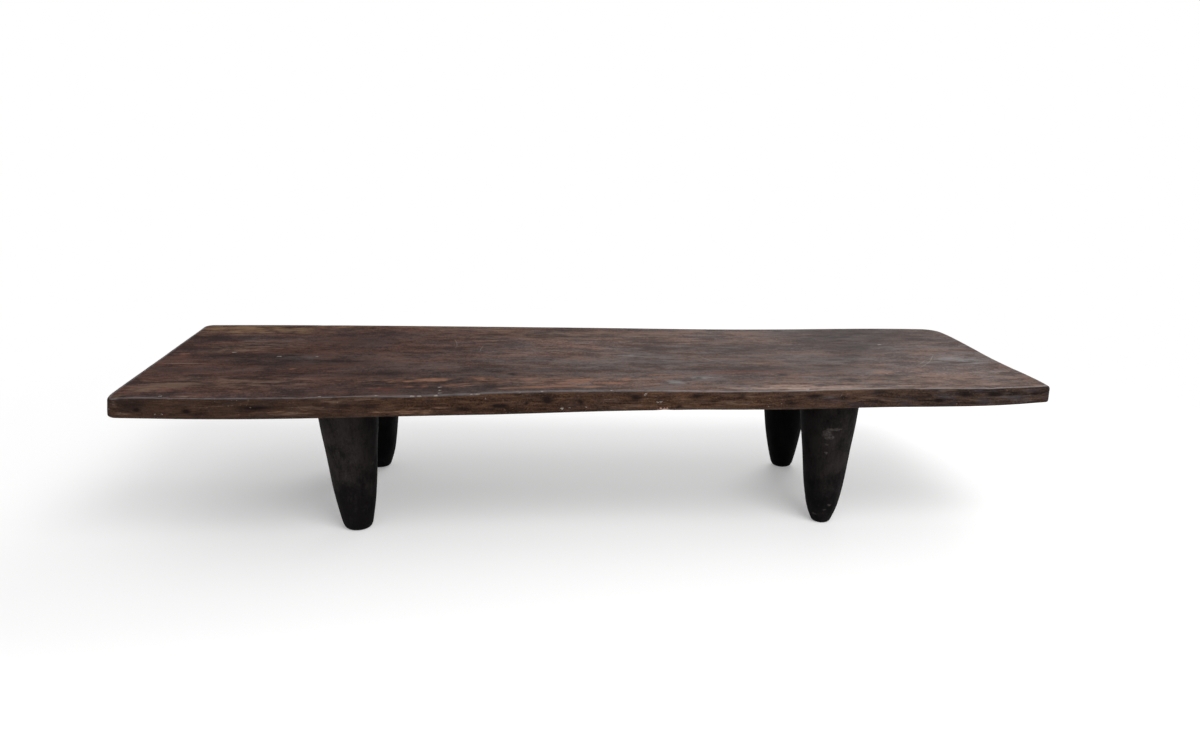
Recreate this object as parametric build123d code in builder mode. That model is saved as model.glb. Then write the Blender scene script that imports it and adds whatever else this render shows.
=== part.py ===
"""Senufo daybed: one broad hand-hewn slab standing on four tapering round legs.

Every leg stops in a flat shoulder against a flat seat on the slab's underside. A round tenon above the
shoulder fills a blind mortise that widens with depth. The tenon is sawn down its middle, and a wedge hidden
in the saw cut spreads it, so that the leg can't drop out and nothing shows on the slab's top.

Millimetres. X runs along the bed from the wide head end to the narrower foot end, the front edge faces -Y,
and the feet stand on Z = 0 with the origin under the middle of the slab's outer box.
"""

import os

from build123d import *

# ---- slab, seen from above ----
HEIGHT = 371.5  # floor to top face
LENGTH = 2108.0  # along the straight front line, head end to foot end
HEAD_WIDTH = 706.0  # front line to back corner at the head end
FOOT_WIDTH = 582.0  # the same at the foot end
FOOT_SKEW = 26.0  # how far the back corner of the foot end stands back from a square end

# Hand-hewn edges wander off their straight lines: the front and the foot end bulge by up to this much, and
# the back is hollow. Going round the slab with its wood on the left, each pair is a share of the edge, and how
# far the edge stands out there as a share of its bulge or hollow.
FRONT_BULGE = 20.0
FOOT_END_BULGE = 7.0
BACK_HOLLOW = 14.0
FRONT_WANDER = ((0.20, 1.0), (0.49, 0.2), (0.67, 0.8), (0.83, 0.4), (0.94, 0.7))
FOOT_END_WANDER = ((0.09, 0.5), (0.34, -0.3), (0.55, 0.1), (0.80, 1.0))
BACK_WANDER = ((0.09, 0.4), (0.21, -0.65), (0.33, -1.0), (0.43, -0.5), (0.65, 0.2), (0.87, 0.5))

# Corner rounding seen from above, and the worn arrises along the top and the underside.
FRONT_HEAD_CORNER = 24.0
FRONT_FOOT_CORNER = 10.0
BACK_HEAD_CORNER = 26.0
BACK_FOOT_CORNER = 56.0
TOP_ARRIS = 9.0
UNDERSIDE_ARRIS = 6.0

# ---- slab, seen from the front: thickness along its length ----
HEAD_END_THICKNESS = 43.5
HEAD_SEAT_THICKNESS = 46.5
BELLY_THICKNESS = 48.5
WAIST_THICKNESS = 42.0
FOOT_SEAT_THICKNESS = 44.5
FOOT_END_THICKNESS = 38.0
BELLY_SHARE = 0.30  # where the belly and the waist lie between the two pairs of legs
WAIST_SHARE = 0.76
SEAT_MARGIN = 8.0  # flat wood beside a leg's shoulder
OVERRUN = 30.0  # how far the underside's curve runs on past the slab's ends
UPRIGHT = 0.5  # a face is a wall of the slab while its normal rises or falls by less than this

# ---- legs ----
HEAD_LEG_INSET = 485.0  # leg axis to its own end of the slab
FOOT_LEG_INSET = 484.0
HEAD_FRONT_SETBACK = 139.0  # leg axis behind the front line
FOOT_FRONT_SETBACK = 111.0
HEAD_BACK_SETBACK = 130.0  # leg axis inside the back line
FOOT_BACK_SETBACK = 123.0
HEAD_FRONT_LEAN = 10.0  # how far along X a leg's foot stands from its top; the fourth leg is upright
HEAD_BACK_LEAN = 6.0
FOOT_BACK_LEAN = 3.0
HEAD_FRONT_TOP_RADIUS = 73.0
HEAD_BACK_TOP_RADIUS = 79.0
FOOT_FRONT_TOP_RADIUS = 73.0
FOOT_BACK_TOP_RADIUS = 75.5
HEAD_LEG_FOOT_RADIUS = 33.0
FOOT_LEG_FOOT_RADIUS = 27.5
# The taper swells: each pair is a share of the leg's height and the share of the way from foot to top radius.
LEG_SWELL = ((0.077, 0.14), (0.16, 0.265), (0.31, 0.445), (0.47, 0.575), (0.63, 0.70), (0.81, 0.85))
FOOT_ROUNDING = 6.0

# ---- tenon, mortise and hidden wedge ----
TENON_RADIUS = 25.0  # at the shoulder
TENON_FLARE = 1.5  # how much wider the spread tenon is at its end
TENON_LENGTH = 27.0
MORTISE_CLEARANCE = 0.2  # round the tenon
MORTISE_END_GAP = 1.0  # above the tenon's end
KERF_WIDTH = 2.0
KERF_DEPTH = 24.0
WEDGE_LENGTH = 20.0
WEDGE_BUTT = 6.0  # wedge thickness at its thick end

HEAD_SEAT_Z = HEIGHT - HEAD_SEAT_THICKNESS
FOOT_SEAT_Z = HEIGHT - FOOT_SEAT_THICKNESS
HEAD_LEG_X = -LENGTH / 2 + HEAD_LEG_INSET
FOOT_LEG_X = LENGTH / 2 - FOOT_LEG_INSET
MORTISE_DEPTH = TENON_LENGTH + MORTISE_END_GAP
FLARED_RADIUS = TENON_RADIUS + TENON_FLARE * MORTISE_DEPTH / TENON_LENGTH  # that cone, at the mortise's end

# The four corners of the slab before its edges wander and its corners are rounded.
FRONT_HEAD = Vector(-LENGTH / 2, 0)
FRONT_FOOT = Vector(LENGTH / 2, 0)
BACK_FOOT = Vector(LENGTH / 2 - FOOT_SKEW, FOOT_WIDTH)
BACK_HEAD = Vector(-LENGTH / 2, HEAD_WIDTH)


def hewn_edge(start, end, wander, most):
    """Points of an edge from start to end that wanders off its straight line, outwards on its right."""
    along = end - start
    outwards = Vector(along.Y, -along.X).normalized() * most
    return [start] + [start + along * share + outwards * out for share, out in wander] + [end]


def back_line(x):
    """Y of the straight line between the two back corners, at x."""
    share = (x - BACK_HEAD.X) / (BACK_FOOT.X - BACK_HEAD.X)
    return BACK_HEAD.Y + share * (BACK_FOOT.Y - BACK_HEAD.Y)


# ================= slab =================
head_seat_half = max(HEAD_FRONT_TOP_RADIUS, HEAD_BACK_TOP_RADIUS) + SEAT_MARGIN
foot_seat_half = max(FOOT_FRONT_TOP_RADIUS, FOOT_BACK_TOP_RADIUS) + SEAT_MARGIN
leg_spacing = FOOT_LEG_X - HEAD_LEG_X

# Points of the underside, from the head end to the foot end, in the XZ plane.
head_end = Vector(-LENGTH / 2 - OVERRUN, HEIGHT - HEAD_END_THICKNESS)
head_seat_outer = Vector(HEAD_LEG_X - head_seat_half, HEAD_SEAT_Z)
head_seat_inner = Vector(HEAD_LEG_X + head_seat_half, HEAD_SEAT_Z)
belly = Vector(HEAD_LEG_X + leg_spacing * BELLY_SHARE, HEIGHT - BELLY_THICKNESS)
waist = Vector(HEAD_LEG_X + leg_spacing * WAIST_SHARE, HEIGHT - WAIST_THICKNESS)
foot_seat_inner = Vector(FOOT_LEG_X - foot_seat_half, FOOT_SEAT_Z)
foot_seat_outer = Vector(FOOT_LEG_X + foot_seat_half, FOOT_SEAT_Z)
foot_end = Vector(LENGTH / 2 + OVERRUN, HEIGHT - FOOT_END_THICKNESS)

# Where each leg's axis meets the underside.
leg_places = {
    "head_front": Vector(HEAD_LEG_X, HEAD_FRONT_SETBACK, HEAD_SEAT_Z),
    "head_back": Vector(HEAD_LEG_X, back_line(HEAD_LEG_X) - HEAD_BACK_SETBACK, HEAD_SEAT_Z),
    "foot_front": Vector(FOOT_LEG_X, FOOT_FRONT_SETBACK, FOOT_SEAT_Z),
    "foot_back": Vector(FOOT_LEG_X, back_line(FOOT_LEG_X) - FOOT_BACK_SETBACK, FOOT_SEAT_Z),
}

with BuildPart() as slab:
    with BuildSketch():
        with BuildLine():
            Spline(*hewn_edge(FRONT_HEAD, FRONT_FOOT, FRONT_WANDER, FRONT_BULGE))
            Spline(*hewn_edge(FRONT_FOOT, BACK_FOOT, FOOT_END_WANDER, FOOT_END_BULGE))
            Spline(*hewn_edge(BACK_FOOT, BACK_HEAD, BACK_WANDER, BACK_HOLLOW))
            Line(BACK_HEAD, FRONT_HEAD)
        make_face()
    extrude(amount=HEIGHT)
    corners = slab.edges().filter_by(Axis.Z).sort_by(Axis.X)
    head_corners = corners[:2].sort_by(Axis.Y)
    foot_corners = corners[2:].sort_by(Axis.Y)
    fillet(head_corners[0], FRONT_HEAD_CORNER)
    fillet(head_corners[1], BACK_HEAD_CORNER)
    fillet(foot_corners[0], FRONT_FOOT_CORNER)
    fillet(foot_corners[1], BACK_FOOT_CORNER)

    # All the wood below the underside is cut away.
    with BuildSketch(Plane.XZ.offset(-LENGTH)):
        with BuildLine():
            TangentArc(head_seat_outer, head_end, tangent=(-1, 0))
            Line(head_seat_outer, head_seat_inner)
            Spline(head_seat_inner, belly, waist, foot_seat_inner, tangents=((1, 0), (1, 0)))
            Line(foot_seat_inner, foot_seat_outer)
            TangentArc(foot_seat_outer, foot_end, tangent=(1, 0))
            Polyline(foot_end, (foot_end.X, 0), (head_end.X, 0), head_end)
        make_face()
    extrude(amount=2 * LENGTH, mode=Mode.SUBTRACT)

    fillet(slab.faces().sort_by(Axis.Z)[-1].edges(), TOP_ARRIS)
    walls = slab.faces().filter_by(lambda face: abs(face.normal_at().Z) < UPRIGHT)
    underside = slab.faces().filter_by(lambda face: face.normal_at().Z < -UPRIGHT)
    wall_edges = walls.edges()
    fillet([edge for edge in underside.edges() if edge in wall_edges], UNDERSIDE_ARRIS)

    for place in leg_places.values():
        with Locations(place):
            Cone(
                TENON_RADIUS + MORTISE_CLEARANCE,
                FLARED_RADIUS + MORTISE_CLEARANCE,
                MORTISE_DEPTH,
                align=(Align.CENTER, Align.CENTER, Align.MIN),
                mode=Mode.SUBTRACT,
            )
slab.part.label = "slab"


# ================= legs =================
def draw_wedge(place):
    """Outline, across the saw cut, of a wedge from its thin end to its butt at the mortise's end."""
    butt_z = place.Z + MORTISE_DEPTH
    tip_z = butt_z - WEDGE_LENGTH
    with Locations((place.X, 0)):
        Polygon(
            (-KERF_WIDTH / 2, tip_z),
            (KERF_WIDTH / 2, tip_z),
            (WEDGE_BUTT / 2, butt_z),
            (-WEDGE_BUTT / 2, butt_z),
            align=None,
        )


def make_leg(label, place, top_radius, foot_radius, lean):
    """A leg from its flat foot to the end of its tenon. Its foot stands lean further along X than its top."""
    with BuildPart() as leg:
        for height_share, radius_share in ((0.0, 0.0), *LEG_SWELL, (1.0, 1.0)):
            with BuildSketch(Plane.XY.offset(place.Z * height_share)):
                with Locations((place.X + lean * (1 - height_share), place.Y)):
                    Circle(foot_radius + (top_radius - foot_radius) * radius_share)
        loft()
        fillet(leg.faces().sort_by(Axis.Z)[0].edges(), FOOT_ROUNDING)
        with Locations(place):
            Cone(
                TENON_RADIUS,
                TENON_RADIUS + TENON_FLARE,
                TENON_LENGTH,
                align=(Align.CENTER, Align.CENTER, Align.MIN),
            )
        with BuildSketch(Plane.XZ.offset(-place.Y)):
            draw_wedge(place)
            with Locations((place.X, place.Z + TENON_LENGTH - KERF_DEPTH)):
                Rectangle(KERF_WIDTH, KERF_DEPTH, align=(Align.CENTER, Align.MIN))
        extrude(amount=FLARED_RADIUS, both=True, mode=Mode.SUBTRACT)
    leg.part.label = label
    return leg


def make_wedge(label, place):
    """The wedge in a tenon's saw cut, its two ends trimmed to the tenon's cone."""
    with BuildPart() as wedge:
        with BuildSketch(Plane.XZ.offset(-place.Y)):
            draw_wedge(place)
        extrude(amount=FLARED_RADIUS, both=True)
        with Locations(place):
            Cone(
                TENON_RADIUS,
                FLARED_RADIUS,
                MORTISE_DEPTH,
                align=(Align.CENTER, Align.CENTER, Align.MIN),
                mode=Mode.INTERSECT,
            )
    wedge.part.label = label
    return wedge


# Radius at the top, radius at the foot and lean of each leg.
leg_shapes = {
    "head_front": (HEAD_FRONT_TOP_RADIUS, HEAD_LEG_FOOT_RADIUS, HEAD_FRONT_LEAN),
    "head_back": (HEAD_BACK_TOP_RADIUS, HEAD_LEG_FOOT_RADIUS, HEAD_BACK_LEAN),
    "foot_front": (FOOT_FRONT_TOP_RADIUS, FOOT_LEG_FOOT_RADIUS, 0.0),
    "foot_back": (FOOT_BACK_TOP_RADIUS, FOOT_LEG_FOOT_RADIUS, FOOT_BACK_LEAN),
}
pieces = [slab]
for name, place in leg_places.items():
    pieces.append(make_leg(f"leg_{name}", place, *leg_shapes[name]))
    pieces.append(make_wedge(f"wedge_{name}", place))

# ================= placing and export =================
outer_box = slab.part.bounding_box()
to_origin = Location((-outer_box.center().X, -outer_box.center().Y, 0))
os.makedirs("parts", exist_ok=True)
for piece in pieces:
    placed = to_origin * piece.part
    placed.label = piece.part.label
    export_step(placed, f"parts/{placed.label}.step")

print("slab outer box", outer_box.size)
for name, place in leg_places.items():
    print("axis at the seat of leg", name, to_origin.position + place)
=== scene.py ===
"""Looks of the Senufo daybed: a worn, hand-hewn plank on four blackened legs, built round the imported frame.

Metres, in the frame's axes: X runs from the head end to the foot end, the front faces -Y and the feet stand
on Z = 0. The slab and the legs are new meshes whose outlines are read from the CAD nodes; every dent, hollow
and worn edge is cut into them, never added on. The hidden wedges keep their CAD shape.
"""

import itertools
import math
from types import SimpleNamespace

import bpy
import mathutils.kdtree
import numpy as np
from mathutils import Matrix, Vector


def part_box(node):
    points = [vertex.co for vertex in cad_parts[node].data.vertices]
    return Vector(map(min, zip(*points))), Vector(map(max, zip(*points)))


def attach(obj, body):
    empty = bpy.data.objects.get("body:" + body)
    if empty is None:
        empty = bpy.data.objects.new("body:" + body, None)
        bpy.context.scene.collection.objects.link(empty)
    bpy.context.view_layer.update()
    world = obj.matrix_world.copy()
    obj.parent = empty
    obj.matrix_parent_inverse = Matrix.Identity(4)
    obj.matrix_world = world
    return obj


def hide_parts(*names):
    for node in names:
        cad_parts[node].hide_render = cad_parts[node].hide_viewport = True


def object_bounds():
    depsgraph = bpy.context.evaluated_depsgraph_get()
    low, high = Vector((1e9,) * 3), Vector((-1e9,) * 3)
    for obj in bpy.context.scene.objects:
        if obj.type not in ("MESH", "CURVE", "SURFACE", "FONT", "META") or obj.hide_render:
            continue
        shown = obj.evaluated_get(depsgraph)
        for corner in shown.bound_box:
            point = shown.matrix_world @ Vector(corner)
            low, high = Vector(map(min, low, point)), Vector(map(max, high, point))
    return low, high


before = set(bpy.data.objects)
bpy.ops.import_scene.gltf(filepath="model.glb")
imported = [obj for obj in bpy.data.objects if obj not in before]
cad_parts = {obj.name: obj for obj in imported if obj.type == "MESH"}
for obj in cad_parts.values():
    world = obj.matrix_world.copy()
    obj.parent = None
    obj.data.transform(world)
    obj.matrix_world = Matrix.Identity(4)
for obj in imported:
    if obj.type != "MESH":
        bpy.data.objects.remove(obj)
cad_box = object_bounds()

LEG_PLACES = ("head_front", "head_back", "foot_front", "foot_back")
TOP = cad_box[1].z

# ---- reading the CAD nodes ----
WALL_LEVEL = 0.36  # a height at which the CAD slab's sides are upright and no mortise is cut
UNDERSIDE_BELOW = 0.34  # all of the CAD slab's underside is lower than this
UNDERSIDE_KNOWN = 1.015  # and its rounded lower edge is further out than this
OUTLINE_STEP = 0.001
OUTLINE_SMOOTHINGS = 3
SAME_PLACE = 1e-5  # points nearer together than this count as one
TENON_REACH = 0.05  # a tenon is narrower than this, and its leg's shoulder is wider
JUST_BELOW = 1e-4

# ---- the slab's mesh ----
TOP_ARRIS = 0.009  # as on the CAD slab
UNDERSIDE_ARRIS = 0.006
UNDERSIDE_RIM = 0.005  # width of the band in which the cells halve
CELLS_ALONG = 440  # even, so that the underside can have half as many
CELLS_ACROSS = 112
USUAL_LENGTH = 2.1  # of the sides, for spacing the cells
USUAL_WIDTH = 0.65
CORNER_CELL_SHARE = 0.25  # width of the cells at a corner, against those far from it
CORNER_REACH = 0.035
STATION_SAMPLES = 4000
TOP_ARRIS_RINGS = 8
WALL_RINGS = 13
UNDERSIDE_ARRIS_RINGS = 5

# ---- wear on the slab ----
TOP_HOLLOWS = 0.0012  # deepest of the long hollows that wear has left on the top
HOLLOW_SIZE = (0.42, 0.17, 1)
HOLLOW_LEVELS = (0.15, 0.95)  # of the noise, between which a hollow deepens
HOLLOWS_FROM_RIM = (0.005, 0.06)  # distances from the rim over which they set in
TOP_RIPPLES = 0.0003
RIPPLE_SIZE = (0.16, 0.014, 1)
ARRIS_WEAR = 0.0006
ARRIS_WEAR_SIZE = (0.09, 0.09, 0.05)
ARRIS_WEAR_LEVELS = (-0.2, 1)
ARRIS_FROM_RIM = (0.005, 0.008)
WALL_SCALLOPS = 0.001
WALL_SCALLOP_SIZE = 0.035
UNDERSIDE_SCALLOPS = 0.0018
UNDERSIDE_SCALLOP_SIZE = 0.055
SCALLOPS_FROM_RIM = (0.004, 0.03)
SEAT_CLEAR = 0.085  # the underside stays flat this far round each leg
SEAT_FADE = 0.05
TOP_BLUR = 0.001  # heights over which the top and the underside fade into the edges
UNDERSIDE_BLUR = 0.0005
SIDE_BLUR = 0.0008  # half the width of the change from the side's colour to the top's
LINE_FROM_SIDE = (-0.001, 0.0004)  # distances in from the side's colour over which the painted highlight line sets in
LINE_BLUR = 0.0015
LINE_WAVER = 0.3  # share of the painted highlight's width by which it varies
LINE_WAVER_SIZE = (0.12, 1, 1)
FACING_UP = (0.3, 0.55)  # the normal's upward part on the wall, and on the upper part of an arris
FACING_ENDS = (0.55, 0.85)  # its part along X on the long sides, and on the ends
FRONT_Y = -0.25  # the front side is further forward than this
FRONT_STAINED = (-0.2, 1.05)  # its stains reach back to this y and out to this x
STAIN_DRIFTS = (  # along each axis: how far a stain's rim wanders, the size of its waves, seed
    (0.006, (0.05, 0.02, 0.02), 61), (0.004, (0.06, 0.02, 0.02), 71), (0.0015, (0.04, 0.02, 0.01), 81),
)
STAIN_SHARPNESS = 1.3  # 1 for a soft patch, more for a flatter one with a sharper rim

# ---- the legs' meshes ----
LEG_SEGMENTS = 120
LEG_ROWS = 84
FOOT_ROWS = 7
FOOT_ROUNDING = 0.006
SOLE_ANGLE = 0.12  # of the rounding's first row
SOLE_SHARES = (0.001, 0.2, 0.42, 0.62)  # radii of the sole's rings, against the foot's
LID_SHARES = (1.0, 0.5, 0.001)
LEG_SUNK = 0.001  # the top of a leg reaches this far into the slab, so that no gap shows
LEG_FACETS = 0.0009
FACET_SIZE = 0.03
FACET_SQUEEZE = (1, 1, 0.35)  # of the places, so that the facets come out long down the leg
LEG_GRAIN = 0.0003
LEG_GRAIN_SIZE = (0.006, 0.006, 0.09)
CUTS_FROM = (0.004, 0.02)  # heights over which the leg's cuts set in
FOOT_WEAR = {  # how far each foot's rim is worn in, and the height at which that has faded out
    "head_front": (0.0045, 0.016), "head_back": (0.0055, 0.06),
    "foot_front": (0.0065, 0.05), "foot_back": (0.0045, 0.016),
}
LEG_SEED = 100
LEG_SEED_STEP = 20


# ================= numbers and noise =================
def smooth_step(value, low, high):
    """0 below low, 1 above high, and a smooth rise between them."""
    share = np.clip((value - low) / (high - low), 0, 1)
    return share * share * (3 - 2 * share)


def bell(distance, reach):
    """1 at no distance, falling away over the reach."""
    return np.exp(-((distance / reach) ** 2))


def bumps(places, cell, seed):
    """Smooth noise from -1 to 1, its hills about one cell apart; cell is one size, or one for each axis."""
    side = 32
    table = np.random.default_rng(seed).uniform(-1, 1, (side, side, side))
    at = places / np.broadcast_to(cell, 3)
    low = np.floor(at).astype(int)
    part = at - low
    part = part * part * (3 - 2 * part)
    total = np.zeros(len(places))
    for corner in itertools.product((0, 1), repeat=3):
        share = np.prod(np.where(corner, part, 1 - part), axis=1)
        total += share * table[tuple(((low + corner) % side).T)]
    return total


def rough_bumps(places, cell, seed):
    """Noise from about -1 to 1 with finer and finer detail."""
    shares = (1, 0.5, 0.25)
    total = np.zeros(len(places))
    for number, share in enumerate(shares):
        total += bumps(places, np.array(cell) * share, seed + number) * share
    return total / sum(shares)


def scallops(places, size, seed):
    """Overlapping shallow cuts of an adze, from 0 at their rims to 1 at their deepest."""
    wander = np.stack([bumps(places, size * 2, seed + k) for k in range(3)], axis=1)
    return 1 - np.abs(bumps(places + 0.35 * size * wander, size, seed + 5))


def along_line(line, x):
    """A value given at a few places along X, at each x."""
    return np.interp(x, *zip(*line))


# ================= reading the CAD frame =================
def cad_triangles(node):
    """A CAD node's triangles, as an array of triangle, corner and axis."""
    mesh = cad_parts[node].data
    mesh.calc_loop_triangles()
    places = np.zeros(3 * len(mesh.vertices), np.float32)
    mesh.vertices.foreach_get("co", places)
    numbers = np.zeros(3 * len(mesh.loop_triangles), np.int32)
    mesh.loop_triangles.foreach_get("vertices", numbers)
    return places.reshape(-1, 3)[numbers.reshape(-1, 3)].astype(float)


def section(corners, axis, level):
    """Points where triangles cross the plane on which the given axis has that level."""
    found = []
    for first, second in ((0, 1), (1, 2), (2, 0)):
        a = corners[:, first]
        b = corners[:, second]
        crossing = (a[:, axis] - level) * (b[:, axis] - level) < 0
        a = a[crossing]
        b = b[crossing]
        share = (level - a[:, axis]) / (b[:, axis] - a[:, axis])
        found.append(a + (b - a) * share[:, None])
    return np.concatenate(found)


def run_along(points):
    """How far along a line each of its points lies."""
    return np.concatenate([[0], np.cumsum(np.linalg.norm(np.diff(points, axis=0), axis=1))])


def slab_outline():
    """The slab's outline seen from above: an even loop of close points, with the wood on its left."""
    points = section(cad_triangles("slab"), 2, WALL_LEVEL)[:, :2]
    points = points[np.argsort(np.arctan2(points[:, 1], points[:, 0]))]
    gap = np.linalg.norm(points - np.roll(points, 1, axis=0), axis=1)
    points = points[gap > SAME_PLACE]
    closed = np.vstack([points, points[:1]])
    run = run_along(closed)
    even = np.linspace(0, run[-1], round(run[-1] / OUTLINE_STEP), endpoint=False)
    loop = np.stack([np.interp(even, run, closed[:, k]) for k in (0, 1)], axis=1)
    for _ in range(OUTLINE_SMOOTHINGS):
        loop = (np.roll(loop, 1, axis=0) + 2 * loop + np.roll(loop, -1, axis=0)) / 4
    return loop


def underside_profile():
    """Heights of the slab's underside along its length."""
    points = section(cad_triangles("slab"), 1, 0.0)
    points = points[(points[:, 2] < UNDERSIDE_BELOW) & (np.abs(points[:, 0]) < UNDERSIDE_KNOWN)]
    points = points[np.argsort(points[:, 0])]
    return points[:, 0], points[:, 2]


def shoulder(corners):
    """Height of the shoulder on which the slab sits: the highest place where the leg is still wide."""
    places = corners.reshape(-1, 3)
    centre = (places.min(axis=0) + places.max(axis=0)) / 2
    far = np.linalg.norm(places[:, :2] - centre[:2], axis=1) > TENON_REACH
    return places[far, 2].max()


def leg_rows(node):
    """Height, centre and radius of a leg at rows from its foot up to its seat."""
    corners = cad_triangles(node)
    seat = shoulder(corners)
    foot = FOOT_ROUNDING * (1 - np.cos(np.linspace(SOLE_ANGLE, math.pi / 2, FOOT_ROWS)))
    shaft = np.linspace(FOOT_ROUNDING, seat, LEG_ROWS - FOOT_ROWS + 1)[1:]
    rows = []
    for height in np.concatenate([foot, shaft]):
        ring = section(corners, 2, min(height, seat - JUST_BELOW))
        centre = (ring.min(axis=0) + ring.max(axis=0)) / 2
        radius = (ring[:, 0].max() - ring[:, 0].min()) / 2
        rows.append((height, centre[0], centre[1], radius))
    return np.array(rows)


# ================= meshes =================
def make_object(name, places, faces):
    """A new smooth mesh object in the frame's own axes."""
    mesh = bpy.data.meshes.new(name)
    mesh.from_pydata([tuple(place) for place in places], [], faces)
    mesh.validate()
    mesh.update()
    mesh.shade_smooth()
    made = bpy.data.objects.new(name, mesh)
    bpy.context.scene.collection.objects.link(made)
    return made


def move_vertices(piece, places):
    """Puts the piece's vertices at new places."""
    piece.data.vertices.foreach_set("co", places.astype(np.float32).ravel())
    piece.data.update()


def add_attribute(piece, name, values):
    """A number on each vertex, for a material to read."""
    attribute = piece.data.attributes.new(name, "FLOAT", "POINT")
    attribute.data.foreach_set("value", np.asarray(values, dtype=np.float32))


def stations(length, cells):
    """Shares from 0 to 1 along a side that is that long, closer together near its ends."""
    run = np.linspace(0, length, STATION_SAMPLES)
    from_end = np.minimum(run, length - run)
    density = 1 / (1 - (1 - CORNER_CELL_SHARE) * bell(from_end, CORNER_REACH))
    total = np.concatenate([[0], np.cumsum((density[1:] + density[:-1]) / 2)])
    return np.interp(np.linspace(0, total[-1], cells + 1), total, run / length)


def side_points(loop, first, last, shares):
    """Points of the loop from one corner to the next, at shares of the way."""
    if last <= first:
        last += len(loop)
    walk = loop[np.arange(first, last + 1) % len(loop)]
    run = run_along(walk)
    return np.stack([np.interp(shares * run[-1], run, walk[:, k]) for k in (0, 1)], axis=1)


def rim_ring(loop):
    """The outline as one ring of vertices, from the front head corner along the front."""
    reach = ((-1, -1), (1, -1), (1, 1), (-1, 1))
    corners = [int(np.argmax(loop @ np.array(direction, dtype=float))) for direction in reach]
    shares = (stations(USUAL_LENGTH, CELLS_ALONG), stations(USUAL_WIDTH, CELLS_ACROSS))
    sides = []
    for side in range(4):
        sides.append(side_points(loop, corners[side], corners[(side + 1) % 4], shares[side % 2])[:-1])
    return np.concatenate(sides)


def inward_normals(ring):
    """Unit vectors towards the wood at each vertex of the ring."""
    tangent = np.roll(ring, -1, axis=0) - np.roll(ring, 1, axis=0)
    tangent /= np.linalg.norm(tangent, axis=1)[:, None]
    return np.stack([-tangent[:, 1], tangent[:, 0]], axis=1)


def coons(ring, along, across):
    """A grid of (across + 1) x (along + 1) points that fills a ring made of four sides."""
    front = ring[: along + 1]
    foot = ring[along : along + across + 1]
    back = ring[along + across : 2 * along + across + 1][::-1]
    head = np.vstack([ring[2 * along + across :], ring[:1]])[::-1]
    u = np.linspace(0, 1, along + 1)[None, :, None]
    v = np.linspace(0, 1, across + 1)[:, None, None]
    ruled_one = (1 - v) * front[None] + v * back[None]
    ruled_two = (1 - u) * head[:, None] + u * foot[:, None]
    low = (1 - u) * front[0] + u * front[-1]
    high = (1 - u) * back[0] + u * back[-1]
    return (ruled_one + ruled_two - ((1 - v) * low + v * high)).reshape(-1, 2)


def ring_places(along, across):
    """Where the ring's vertices lie in the flat list of a grid's points."""
    wide = along + 1
    front = np.arange(along)
    foot = np.arange(across) * wide + along
    back = across * wide + np.arange(along, 0, -1)
    head = np.arange(across, 0, -1) * wide
    return np.concatenate([front, foot, back, head])


def grid_faces(first, along, across, flip):
    """Quads over a grid whose vertices are numbered from first on."""
    numbers = first + np.arange((across + 1) * (along + 1)).reshape(across + 1, along + 1)
    quads = [numbers[:-1, :-1], numbers[:-1, 1:], numbers[1:, 1:], numbers[1:, :-1]]
    if flip:
        quads = [quads[k] for k in (0, 3, 2, 1)]
    return np.stack([corner.ravel() for corner in quads], axis=1).tolist()


def band_faces(upper, lower):
    """Quads between two rings of vertex numbers, the upper one above or inside the lower one."""
    return np.stack([lower, np.roll(lower, -1), np.roll(upper, -1), upper], axis=1).tolist()


def halving_faces(fine, coarse):
    """Triangles from a ring down to one with half as many vertices."""
    faces = []
    ends = np.roll(fine, -2)
    for k, (here, there) in enumerate(zip(coarse.tolist(), np.roll(coarse, -1).tolist())):
        start, middle, end = int(fine[2 * k]), int(fine[2 * k + 1]), int(ends[2 * k])
        faces += [[here, middle, start], [here, there, middle], [there, end, middle]]
    return faces


# ================= the slab =================
# Each is x, y, z, radius, depth: worn corners, knocks on the front edge, and round the rest of the rim.
DENTS = (
    (-1.053, -0.35, 0.3715, 0.026, 0.0085), (-1.053, -0.35, 0.324, 0.013, 0.0026),
    (-0.912, -0.352, 0.3705, 0.009, 0.0012), (-0.938, -0.345, 0.371, 0.007, 0.001),
    (-0.4, -0.353, 0.369, 0.012, 0.0014), (-0.348, -0.352, 0.368, 0.009, 0.0012),
    (-0.27, -0.35, 0.37, 0.012, 0.002), (-0.023, -0.34, 0.371, 0.01, 0.001),
    (0.108, -0.352, 0.366, 0.008, 0.0014), (0.152, -0.354, 0.334, 0.012, 0.0018),
    (-0.077, -0.354, 0.335, 0.008, 0.0014), (0.415, -0.352, 0.343, 0.008, 0.0012),
    (0.48, -0.345, 0.37, 0.016, 0.0012), (0.742, -0.345, 0.37, 0.014, 0.0014),
    (0.905, -0.35, 0.369, 0.012, 0.0014), (-0.64, -0.35, 0.37, 0.016, 0.0012),
    (-1.053, -0.12, 0.35, 0.014, 0.0014), (-1.053, 0.165, 0.344, 0.018, 0.0016),
    (-1.046, 0.05, 0.335, 0.014, 0.0018), (1.042, 0.02, 0.348, 0.014, 0.0016),
    (1.048, -0.185, 0.35, 0.016, 0.0016), (1.04, 0.15, 0.34, 0.014, 0.0016),
    (-0.72, 0.346, 0.352, 0.016, 0.0018), (-0.26, 0.324, 0.356, 0.014, 0.0016),
    (0.31, 0.29, 0.35, 0.018, 0.0018), (0.76, 0.262, 0.354, 0.014, 0.0016),
    (0.04, 0.305, 0.337, 0.016, 0.0018), (-0.52, 0.332, 0.338, 0.014, 0.0016),
)
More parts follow.
